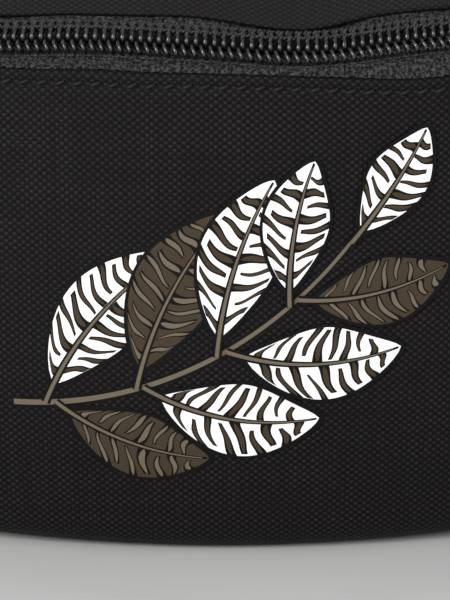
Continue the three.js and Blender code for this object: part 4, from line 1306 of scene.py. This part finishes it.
def inflated(piece, held, pressure, cap):
    """Blows a padded piece up as cloth, held at its seams, and keeps the result. No point
    moves further than the cap."""
    start = np.array([v.co for v in piece.data.vertices])
    group = piece.vertex_groups.new(name="held")
    for weight in np.unique(held):
        group.add(np.flatnonzero(held == weight).tolist(), float(weight), "REPLACE")
    cloth = piece.modifiers.new("fill", "CLOTH")
    stiff = {"pin_stiffness": 4, "tension_stiffness": 20, "compression_stiffness": 20,
             "bending_stiffness": 0.4}
    filled = {"use_pressure": True, "uniform_pressure_force": pressure, "shrink_min": -0.03,
              "mass": 0.1, "vertex_group_mass": "held"}
    for setting, value in {**stiff, **filled}.items():
        setattr(cloth.settings, setting, value)
    cloth.settings.effector_weights.gravity = 0
    cloth.point_cache.frame_end = FILL_STEPS
    for step in range(1, FILL_STEPS + 1):
        bpy.context.scene.frame_set(step)
    found = piece.evaluated_get(bpy.context.evaluated_depsgraph_get())
    blown = np.array([v.co for v in found.data.vertices])
    bpy.context.scene.frame_set(1)
    piece.modifiers.remove(cloth)
    piece.vertex_groups.remove(group)
    moved = blown - start
    far = np.linalg.norm(moved, axis=1, keepdims=True)
    moved *= np.minimum(1, cap / np.maximum(far, 1e-9))
    piece.data.vertices.foreach_set("co", (start + moved).astype(np.float32).ravel())
    piece.data.update()


def channel_gap(x, share):
    """The distance to the nearer sewn channel; both lean in a little towards the top."""
    return np.abs(np.abs(x) - (CHANNEL_AT - CHANNEL_LEAN * share))


spacer_mesh = mesh_material()
back_x, back_share = np.meshgrid(np.linspace(-1, 1, 141) * BACK_HALF, np.linspace(0, 1, 57))
flange_low, flange_high = beside(bottom_seam, -FLANGE), beside(top_seam, FLANGE)
back_z = flange_low(back_x) + back_share * (flange_high(back_x) - flange_low(back_x))
edge_gap = np.minimum(BACK_HALF - np.abs(back_x), np.minimum(back_z - flange_low(back_x),
                                                             flange_high(back_x) - back_z))
gap = channel_gap(back_x, back_share)
soft = smooth(gap, 0.8 * MM, 4 * MM) * smooth(edge_gap, 3.5 * MM, 8 * MM)
outer_y = back_high.y - CHANNEL_DEEP * (1 - soft) + PAD_CROWN * soft
outer_y = outer_y - RIM_DEEP * (1 - smooth(edge_gap, 0, 1.5 * MM))
outer = points_of(back_x, outer_y, back_z)
inner = points_of(back_x, back_low.y, back_z)
shell = np.concatenate([outer, inner[::-1]])
shell_uv = shell[..., [0, 2]]
back_mesh = outward(grid_mesh(np.concatenate([shell, shell[:1]]),
                              np.concatenate([shell_uv, shell_uv[:1]]), spacer_mesh))
back_pads = new_piece("back_pads", back_mesh, "bag", "back_mesh", "back_panel")
places = np.array([v.co for v in back_mesh.vertices])
seam_low, seam_high = flange_low(places[:, 0]), flange_high(places[:, 0])
to_edge = np.minimum(BACK_HALF - np.abs(places[:, 0]),
                     np.minimum(places[:, 2] - seam_low, seam_high - places[:, 2]))
to_channel = channel_gap(places[:, 0], (places[:, 2] - seam_low) / (seam_high - seam_low))
free = (to_edge > 5 * MM) & (to_channel > 2 * MM) & (places[:, 1] > back_low.y + 0.5 * MM)
inflated(back_pads, 1.0 - free, PAD_PRESSURE, PAD_CAP)

stitch_y = back_high.y - CHANNEL_DEEP + 0.05 * MM
pad_lines = []
for side in (-1, 1):
    up = np.linspace(0.03, 0.97, 60)
    x = side * (CHANNEL_AT - CHANNEL_LEAN * up)
    z = flange_low(x) + up * (flange_high(x) - flange_low(x))
    pad_lines.append(points_of(x, stitch_y, z))
x = np.linspace(-1, 1, 160) * (BACK_HALF - SEW_INSET)
pad_lines += [points_of(x, stitch_y, flange_low(x) + SEW_INSET),
              points_of(x, stitch_y, flange_high(x) - SEW_INSET)]
stitched("back_stitching", pad_lines, slot="back_mesh")

# ---- wings ---------------------------------------------------------------------------------
# Padded wings carry the load from the bag's ends to the belt: shell cloth outside, spacer
# mesh inside and foam between, topstitched along their edges.

BELT_BULGE = 50 * MM
BELT_Y = (back_low.y + back_high.y) / 2
buckle_low, buckle_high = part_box("buckle_female")
BUCKLE_Y = (buckle_low.y + buckle_high.y) / 2
BUCKLE_Z = (buckle_low.z + buckle_high.z) / 2
BELT_DEEP = (BUCKLE_Y - BELT_Y) / 2
BELT_Z = 78 * MM
WING_TURN = math.radians(64)
WING_START = -0.035                             # its inner end tucks under the pads' edge
WING_END_HALF = 21 * MM
WING_RUN = 62 * MM                              # from the bag to its outer end
WING_THICK = 3.5 * MM
WING_EDGE = 5 * MM                              # topstitching from the edge


def belt_route(side, turn, outward_by=0.0):
    """The belt's route in plan: out from the bag's end to its widest and round to the rear."""
    turn = np.asarray(turn, float)
    x = BACK_HALF + BELT_BULGE * np.sin(turn)
    y = BELT_Y + BELT_DEEP * (1 - np.cos(turn))
    z = BELT_Z + (BUCKLE_Z - BELT_Z) * smooth(turn, WING_TURN, math.pi)
    ahead = points_of(BELT_BULGE * np.cos(turn), BELT_DEEP * np.sin(turn))
    ahead /= np.linalg.norm(ahead, axis=-1, keepdims=True)
    x = x + ahead[..., 1] * outward_by
    y = y - ahead[..., 0] * outward_by
    return points_of(side * x, y, z)


def wing_edges(share):
    taper = smooth(share, -0.15, 1.1)
    low = flange_low(BACK_HALF) * (1 - taper) + (BELT_Z - WING_END_HALF) * taper
    high = flange_high(BACK_HALF) * (1 - taper) + (BELT_Z + WING_END_HALF) * taper
    return low, high


def wing_thickness(side, share, height):
    """Half a wing's thickness: full in the middle, thin at its edges and under the webbing."""
    low, high = wing_edges(share)
    edge = np.minimum((high - low) / 2 * (1 - np.abs(height)),
                      50 * MM * np.minimum(share, 1 - share) + 1 * MM)
    crown = 0.5 + 0.75 * smooth(edge, WING_EDGE, WING_EDGE + 9 * MM)
    crown = crown - 0.22 * hump(edge, WING_EDGE, 0.8 * MM)
    crown = crown * (1 - 0.5 * smooth(share, 0.66, 0.8))
    pucker = 0.10 * np.exp(-edge / (7 * MM)) * ripple(share * 9, height * 3 + side, 31)
    return WING_THICK * (crown + pucker)


def wing_point(side, share, height, face):
    """A point on a wing: share from bag to belt, height from -1 to 1, and face from -1, the
    inner side, to 1, the outer side."""
    low, high = wing_edges(share)
    half = (high - low) / 2
    turn = WING_START + (WING_TURN - WING_START) * share
    place = belt_route(side, turn, face * wing_thickness(side, share, height))
    place[..., 2] = (low + high) / 2 + half * height
    return place


def wing_line(side, inset):
    """The lines along a wing's outer face, an inset from its two edges."""
    share = np.linspace(0.05, 0.93, 40)
    low, high = wing_edges(share)
    height = 1 - 2 * inset / (high - low)
    return [wing_point(side, share, sign * height, 0.98) for sign in (1, -1)]


def wing(name, side):
    share, around = grid(0, 1, 0, 2 * math.pi, 48, 97)
    share, around = share[:, :-1], around[:, :-1]
    height = squared_off(np.cos(around), 0.55)
    face = squared_off(np.sin(around), 0.35)
    points = wing_point(side, share, height, face)
    full = np.concatenate([points, points[:, :1]], 1)
    run = np.broadcast_to(np.linspace(0, WING_RUN, 48)[:, None], full.shape[:2])
    steps = np.linalg.norm(np.diff(full, axis=1), axis=-1)
    girth = np.concatenate([full[:, :1, 2], full[:, :1, 2] - np.cumsum(steps, axis=1)], axis=1)
    uvs = points_of(run, girth)
    mesh = outward(grid_mesh(points, uvs, shell_cloth, spacer_mesh, ring=True, caps=True))
    for polygon in mesh.polygons:
        toward = Vector((side * polygon.center.x - BACK_HALF, polygon.center.y - BELT_Y
                         - BELT_DEEP, 0))
        away = Vector((side * polygon.normal.x, polygon.normal.y, 0))
        polygon.material_index = 1 if away.dot(toward) < -0.3 * toward.length else 0
    piece = new_piece(name, mesh, "bag", "shell_fabric", f"wing_{name.split('_')[-1]}")
    stitched(f"{name}_stitching", wing_line(side, WING_EDGE))


wing("pad_wing_left", -1)
wing("pad_wing_right", 1)

# ---- webbing -------------------------------------------------------------------------------
# Polypropylene webbing, 38 mm wide, woven with a brick-like rib. It is sewn on the wings with
# a boxed cross. On the left it is sewn into a loop round the buckle's bar; on the right it
# runs round the adjusting bar and back through the keeper to a folded, sewn end.

WEB_HALF = 19 * MM
WEB_THICK = 1.5 * MM
RIBS = 15                                       # across its width
SELVEDGE = 0.35 * WEB_THICK
ON_WING = math.radians(49)                      # where its end is sewn on the wing
BAR_LEG = 3.1 * MM                              # its middle to the middle of a bar
DOUBLED = 1.95 * MM
FEMALE_BAR_X = buckle_low.x + 2.5 * MM
MALE_BAR_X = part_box("buckle_male")[1].x - 12 * MM
LEFT_END_X = -64 * MM
TAIL_END_X = 118 * MM
RUN_IN = 16 * MM                                # in which its layers come together
LEFT_OPEN, RIGHT_OPEN = 3 * MM, 12.5 * MM       # run of a bar's loop before its layers close
REAR_FACE = BUCKLE_Y + DOUBLED + WEB_THICK / 2
CORNERS = [(-1, -1), (1, -1), (1, 1), (-1, 1)]  # of a rectangle, going round
PROUD = 0.1 * MM                                # of stitches on the webbing's face
CROSS_HALF = (5.5 * MM, 15 * MM)                # of a boxed cross, along and across
LOOP_TACK_X = -57.5 * MM
FOLD_LONG = 13 * MM                             # of the webbing's end, folded over
TACK_TURN = math.radians(55.5)                  # where each wing's boxed cross is
TACK_REACH = 66 * MM                            # the radius of the belt's bend there


def doubled_route(side, bar_x, parallel, end_x):
    """The straight run to a bar, round it, and back along the outside."""
    def at(away, offset):
        return points_of(bar_x + side * away, BUCKLE_Y + offset, BUCKLE_Z)
    t = np.linspace(1, 0, 14)
    shut = smooth(t, 0, 1)
    a = np.linspace(-0.5 * math.pi, -1.5 * math.pi, 14)[1:-1]
    far = abs(end_x - bar_x)
    back = np.linspace(parallel + RUN_IN, far, int((far - parallel - RUN_IN) / (3 * MM)))
    straight = np.linspace(abs(BACK_HALF - abs(bar_x)) - 2 * MM, parallel + 18 * MM, 24)
    return np.concatenate([
        at(straight, 0.0),
        at(parallel + RUN_IN * t, -BAR_LEG * (1 - shut)),
        at(BAR_LEG * np.cos(a), BAR_LEG * np.sin(a)),
        at(parallel + RUN_IN * t[::-1], (BAR_LEG + (DOUBLED - BAR_LEG) * shut)[::-1]),
        at(back[1:], DOUBLED)])


def strap_mesh(line, seed):
    """A strap that stands on edge along a line, with soft selvedges."""
    ahead = np.gradient(line[:, :2], axis=0)
    ahead /= np.linalg.norm(ahead, axis=1, keepdims=True)
    wide = points_of(ahead[:, 1], -ahead[:, 0], 0)
    flat = 1 - SELVEDGE / WEB_HALF
    face = np.linspace(flat, -flat, 6 * RIBS + 1)
    bulge = WEB_THICK / 2 * (1 - 0.13 * np.cos(face * math.pi * RIBS) ** 2)
    lip = np.linspace(0, math.pi, 6)[1:-1]
    rim = face[-1] * WEB_HALF - SELVEDGE * np.sin(lip)
    height = np.concatenate([face * WEB_HALF, rim, -face * WEB_HALF, -rim])
    off = np.concatenate([bulge, bulge[-1] * np.cos(lip), -bulge, -bulge[-1] * np.cos(lip)])
    run = run_along(line)
    sway = 0.28 * MM * ripple(run[:, None] / (35 * MM), height / (30 * MM), seed)
    points = line[:, None] + wide[:, None] * (off[:, None] + sway[..., None])
    points[..., 2] += height + 0.15 * MM * ripple(run / (25 * MM), 0, seed + 1)[:, None]
    uvs = points_of(run[:, None], np.append(height, height[:1]))
    return outward(grid_mesh(points, uvs, webbing_cloth, ring=True, caps=True))


def box_tacked(name, lines, body="bag"):
    """Rows of the thick, close thread that holds webbing."""
    stitched(name, lines, body, "webbing", pitch=2.4 * MM, stitch=2 * MM, thread=0.45 * MM)


def boxed_cross(place):
    """Stitch lines of a box with a cross in it; place turns (along, up) into a point."""
    corners = np.array(CORNERS) * CROSS_HALF
    pairs = [(0, 1), (1, 2), (2, 3), (3, 0), (0, 2), (1, 3)]
    t = np.linspace(0, 1, 16)[:, None]
    return [place(*(corners[a] * (1 - t) + corners[b] * t).T) for a, b in pairs]


def on_wing_by(side, turn, lift):
    """The webbing's distance off the belt's line: on the wing's face, then back to the line."""
    share = np.clip((turn - WING_START) / (WING_TURN - WING_START), 0, 0.97)
    face = wing_thickness(side, share, 0) + lift
    return face * (1 - smooth(turn, WING_TURN, WING_TURN + 0.25))


def curved_line(side):
    turn = np.linspace(ON_WING, math.pi, 90)
    return belt_route(side, turn, on_wing_by(side, turn, WEB_THICK / 2))[:-1]


# Its darker colour is painted shade between the yarns, the paler one a painted highlight on their
# crowns.
webbing_cloth = woven_cloth("ribbed webbing", flat_cloth_vector, (0.0045, 0.0045, 0.0047, 1),
                            (0.026, 0.026, 0.027, 1), 0.55, yarn=(1.9 * MM, WEB_HALF / RIBS))
left_line = np.concatenate([curved_line(-1),
                            doubled_route(-1, FEMALE_BAR_X, LEFT_OPEN, LEFT_END_X)])
new_piece("belt_left", strap_mesh(left_line, 41), "bag", "webbing", "webbing_left")
right_line = np.concatenate([curved_line(1),
                             doubled_route(1, MALE_BAR_X, RIGHT_OPEN, TAIL_END_X)])
belt_right = new_piece("belt_right", strap_mesh(right_line, 43), None, "webbing",
                       "webbing_right", "webbing_adjuster")
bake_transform(belt_right)

for name, side in [("left", -1), ("right", 1)]:
    def on_belt(along, up, side=side):
        turn = TACK_TURN + along / TACK_REACH
        place = belt_route(side, turn, on_wing_by(side, turn, WEB_THICK + 0.12 * MM))
        place[..., 2] += up
        return place
    box_tacked(f"belt_tack_{name}", boxed_cross(on_belt))


def on_rear(along, up):
    """A point just proud of the loop's outer layer, beside the middle of its stitching."""
    return points_of(LOOP_TACK_X + along, REAR_FACE + PROUD, BUCKLE_Z + up)


box_tacked("left_loop_stitching", boxed_cross(on_rear))
fold_x = TAIL_END_X + np.linspace(-FOLD_LONG, -0.2 * MM, 8)
fold_line = points_of(fold_x, REAR_FACE + WEB_THICK / 2, BUCKLE_Z)
new_piece("tail_fold", strap_mesh(fold_line, 45), "loose_end", "webbing")
up = BUCKLE_Z + np.linspace(-16, 16, 24) * MM
box_tacked("tail_stitching", [points_of(TAIL_END_X + at, REAR_FACE + WEB_THICK + PROUD, up)
                              for at in (-10 * MM, -4 * MM)], "loose_end")

# ---- side-release buckle and keeper --------------------------------------------------------
# Two acetal mouldings with a fine spark-eroded grain and rounded edges: a socket with side
# windows, and a fork whose two springy prongs catch in them. The keeper is an elastic loop.


def upright_vector(tree):
    """Object coordinates seen from the front, for cloth that stands in that plane."""
    place = put(tree, "ShaderNodeTexCoord").outputs["Object"]
    across, _, up = parts_of_vector(tree, place)
    return vector_of_parts(tree, across, up)


# Moulded acetal: a fine, even grain, rubbed glossier in places.
acetal = grained("black acetal", (160.0, 4.0), (0.009, 0.009, 0.0095, 1),
                 (0.014, 0.014, 0.0145, 1), (0.0, 1.0, 0.52, 0.36), 0.4, (3800.0, 2.0), 0.22,
                 0.06 * MM, reach=(0.4, 0.7))
for node, name, body, width in [
        ("buckle_female", "buckle_socket", "bag", 0.9 * MM),
        ("buckle_male", "buckle_fork", "loose_end", 0.6 * MM),
        ("buckle_prong_upper", "prong_upper", "loose_end", 0.5 * MM),
        ("buckle_prong_lower", "prong_lower", "loose_end", 0.5 * MM)]:
    new_piece(name, softened_mesh(node, width, acetal), body, "buckle_plastic", node)


SOCKET_BAR = 9 * MM                             # the end of the socket that has its bar
PANEL_HALF = (10 * MM, 15.5 * MM)
# Each step of a moulded panel: how far in from its edge, in mm, and its share of the height.
PANEL_STEPS = [(0, -0.3), (0, 0), (0.12, 0.6), (0.5, 0.93), (1.1, 1.0), (2.2, 0.86)]
SOCKET_RIDGE = 0.42 * MM                        # radius
PRONG_RIDGE = 0.38 * MM


def raised_panel(x, face_y, proud):
    """A low moulded panel with rounded corners on a face of the socket."""
    around = np.arange(56) * 2 * math.pi / 56
    side, end = (squared_off(f(around), 0.42) for f in (np.cos, np.sin))
    rings = [points_of(x + (PANEL_HALF[0] - inset * MM) * side, face_y + proud * height,
                       BUCKLE_Z + (PANEL_HALF[1] - inset * MM) * end)
             for inset, height in PANEL_STEPS]
    return solid_of_rings(np.array(rings), acetal)


socket_x = (buckle_low.x + SOCKET_BAR + buckle_high.x) / 2
for name, face_y, proud in [("socket_panel_rear", buckle_high.y, 0.6 * MM),
                            ("socket_panel_inner", buckle_low.y, -0.5 * MM)]:
    new_piece(name, raised_panel(socket_x - 0.5 * MM, face_y, proud), "bag", "buckle_plastic")
socket_rows = [points_of(x, buckle_high.y + 0.45 * MM, BUCKLE_Z + np.linspace(-10, 10, 9) * MM)
               for x in np.arange(socket_x - 5 * MM, socket_x + 5 * MM, 2.2 * MM)]
new_piece("socket_ridges", wire(socket_rows, SOCKET_RIDGE, 8, acetal), "bag", "buckle_plastic")
prong_rows = []
for node, sign in [("buckle_prong_upper", 1), ("buckle_prong_lower", -1)]:
    low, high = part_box(node)
    y = np.linspace(low.y + 0.9 * MM, high.y - 0.9 * MM, 5)
    z = (high if sign > 0 else low).z + sign * 0.05 * MM
    prong_rows += [points_of(x, y, z) for x in np.arange(-13.5 * MM, -5 * MM, 1.9 * MM)]
new_piece("prong_ridges", wire(prong_rows, PRONG_RIDGE, 8, acetal), "loose_end",
          "buckle_plastic")
# Its darker colour is painted shade between the yarns, the paler one a painted highlight on their
# crowns.
elastic = woven_cloth("ribbed elastic", upright_vector, (0.005, 0.005, 0.0052, 1),
                      (0.022, 0.022, 0.023, 1), 0.6, yarn=(0.7 * MM, 1.1 * MM))
new_piece("keeper", softened_mesh("webbing_keeper", 0.3 * MM, elastic), "loose_end", "webbing",
          "webbing_keeper")

# ---- floor, light and camera ---------------------------------------------------------------
# A plain pale floor under soft studio light: one large softbox from the front left, a weaker
# one on the right and one on each side behind, in an evenly lit room.

FLOOR_HALF = 30.0
EYE_DISTANCE = 480 * MM
EYE_ANGLE = math.radians(15)
AIM = Vector((0, panel_low.y, 50.2 * MM))
VIEW_TALL = 105.9 * MM                          # height of the view at the aim


def softbox(name, place, watts):
    """A square softbox, a metre wide, turned to the aim."""
    light = bpy.data.lights.new(name, "AREA")
    light.shape = "SQUARE"
    light.size = 1.0
    light.energy = watts
    lamp = bpy.data.objects.new(name, light)
    lamp.location = place
    lamp.rotation_mode = "QUATERNION"
    lamp.rotation_quaternion = (AIM - Vector(place)).to_track_quat("-Z", "Y")
    lamp.visible_camera = False
    bpy.context.scene.collection.objects.link(lamp)


scene = bpy.context.scene
scene.view_settings.view_transform = "Standard"
floor_mesh = bpy.data.meshes.new("floor")
floor_mesh.from_pydata([(a * FLOOR_HALF, b * FLOOR_HALF, cad_box[0].z) for a, b in CORNERS],
                       [], [(0, 1, 2, 3)])
floor_mesh.materials.append(grained("pale floor", (30.0, 4.0), (0.56, 0.555, 0.545, 1),
                                    (0.60, 0.595, 0.585, 1), 0.8, 0.2, (900.0, 3.0), 0.1,
                                    0.2 * MM))
floor = bpy.data.objects.new("floor", floor_mesh)
scene.collection.objects.link(floor)

softbox("key light", (-0.9, -1.75, 0.95), 42)
softbox("fill light", (1.4, -1.3, 0.7), 9)
softbox("back light left", (-1.5, 1.2, 0.9), 26)
softbox("back light right", (1.5, 1.3, 1.0), 34)
world = bpy.data.worlds.new("room")
world.use_nodes = True
world.node_tree.nodes["Background"].inputs[0].default_value = (0.95, 0.97, 1.0, 1)
world.node_tree.nodes["Background"].inputs[1].default_value = 0.5
scene.world = world

camera = bpy.data.cameras.new("camera")
camera.sensor_width = 36
camera.lens = camera.sensor_width * EYE_DISTANCE / VIEW_TALL
camera.clip_start = 0.02
eye = bpy.data.objects.new("camera", camera)
backwards = Vector((0, -math.cos(EYE_ANGLE), math.sin(EYE_ANGLE)))
eye.location = AIM + backwards * EYE_DISTANCE
eye.rotation_mode = "QUATERNION"
eye.rotation_quaternion = (-backwards).to_track_quat("-Z", "Y")
scene.collection.objects.link(eye)
scene.camera = eye
